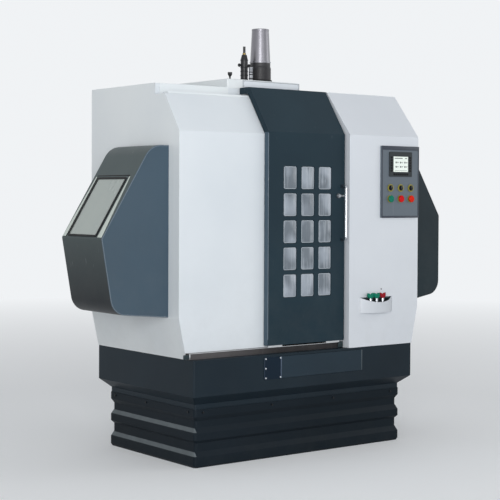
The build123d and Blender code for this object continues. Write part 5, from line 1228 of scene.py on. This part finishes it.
# Studio: a pale floor, soft lamps and an even room
studio = {
    "floorSize": 160.0, "fadeStart": 2.5, "fadeEnd": 11.0,
    "floorColor": tone(236, 238, 240),
    "floorBounce": tone(164, 167, 170),
    "floorLift": 0.16,
    "roomColor": (0.92, 0.94, 0.96, 1.0),
    "roomLight": 0.40, "roomSeen": 0.95,
    "lamps": [
        ("keyLamp", (-5.8, -7.6, 2.1), (0.0, 0.0, 1.1), 4.0, 440),
        ("frontLamp", (-0.5, -8.0, 1.5), (0.0, 0.0, 1.1), 4.0, 80),
        ("leftLamp", (-10.0, -3.0, 1.5), (0.0, 0.0, 1.0), 5.0, 40),
        ("topLamp", (0.5, 0.5, 7.5), (0.0, 0.0, 1.0), 5.0, 24),
        ("rightLamp", (7.0, -4.0, 3.0), (0.0, 0.0, 1.0), 4.0, 60),
    ],
}


def placeLamps(spec):
    for name, place, target, size, power in spec["lamps"]:
        data = bpy.data.lights.new(name, "AREA")
        data.shape = "DISK"
        data.size = size
        data.energy = power
        lamp = addObject(name, data)
        aim = (Vector(target) - Vector(place)).to_track_quat("-Z", "Y")
        lamp.matrix_world = Matrix.Translation(place) @ aim.to_matrix().to_4x4()


# The floor fades into the room's colour with its distance from the object
def layFloor(spec):
    bm = bmesh.new()
    bmesh.ops.create_grid(bm, x_segments=1, y_segments=1, size=spec["floorSize"] / 2)
    mesh = bpy.data.meshes.new("studioFloor")
    bm.to_mesh(mesh)
    bm.free()
    floor = addObject("studioFloor", mesh)
    paint = Paint("studioFloor")
    diffuse = paint.node("ShaderNodeLightPath", out="Is Diffuse Ray")
    paint.wear(
        Base_Color=paint.blend(diffuse, spec["floorColor"], spec["floorBounce"]),
        Roughness=0.8,
        Specular_IOR_Level=0.1,
        Emission_Color=spec["roomColor"],
        Emission_Strength=(1.0 - diffuse) * spec["floorLift"],
    )
    away = paint.node("ShaderNodeVectorMath", {"operation": "LENGTH"}, {0: paint.place}, "Value")
    far = paint.step(away / spec["fadeEnd"], spec["fadeStart"] / spec["fadeEnd"], 1.0)
    haze = paint.node("ShaderNodeEmission", None, {"Color": spec["roomColor"], "Strength": spec["roomSeen"]})
    painted = Wire(paint, paint.surface.outputs[0])
    both = paint.node("ShaderNodeMixShader", None, {0: far, 1: painted, 2: haze})
    paint.feed(paint.tree.nodes["Material Output"].inputs["Surface"], both)
    mesh.materials.append(paint.material)


# The room is brighter to the camera and in reflections than as a light
def lightRoom(spec):
    scene.world = bpy.data.worlds.new("studioRoom")
    scene.world.use_nodes = True
    room = Shading(scene.world.node_tree)
    seen = room.node("ShaderNodeLightPath", out="Is Camera Ray")
    for kind in ("Is Transmission Ray", "Is Glossy Ray"):
        seen = seen.sum("MAXIMUM", seen, room.node("ShaderNodeLightPath", out=kind))
    ends = {"Value": seen, "To Min": spec["roomLight"], "To Max": spec["roomSeen"]}
    backdrop = room.tree.nodes["Background"]
    room.feed(backdrop.inputs["Color"], spec["roomColor"])
    room.feed(backdrop.inputs["Strength"], room.node("ShaderNodeMapRange", None, ends))


placeLamps(studio)
layFloor(studio)
lightRoom(studio)
scene.view_settings.view_transform = "Standard"
print("camera and studio placed")
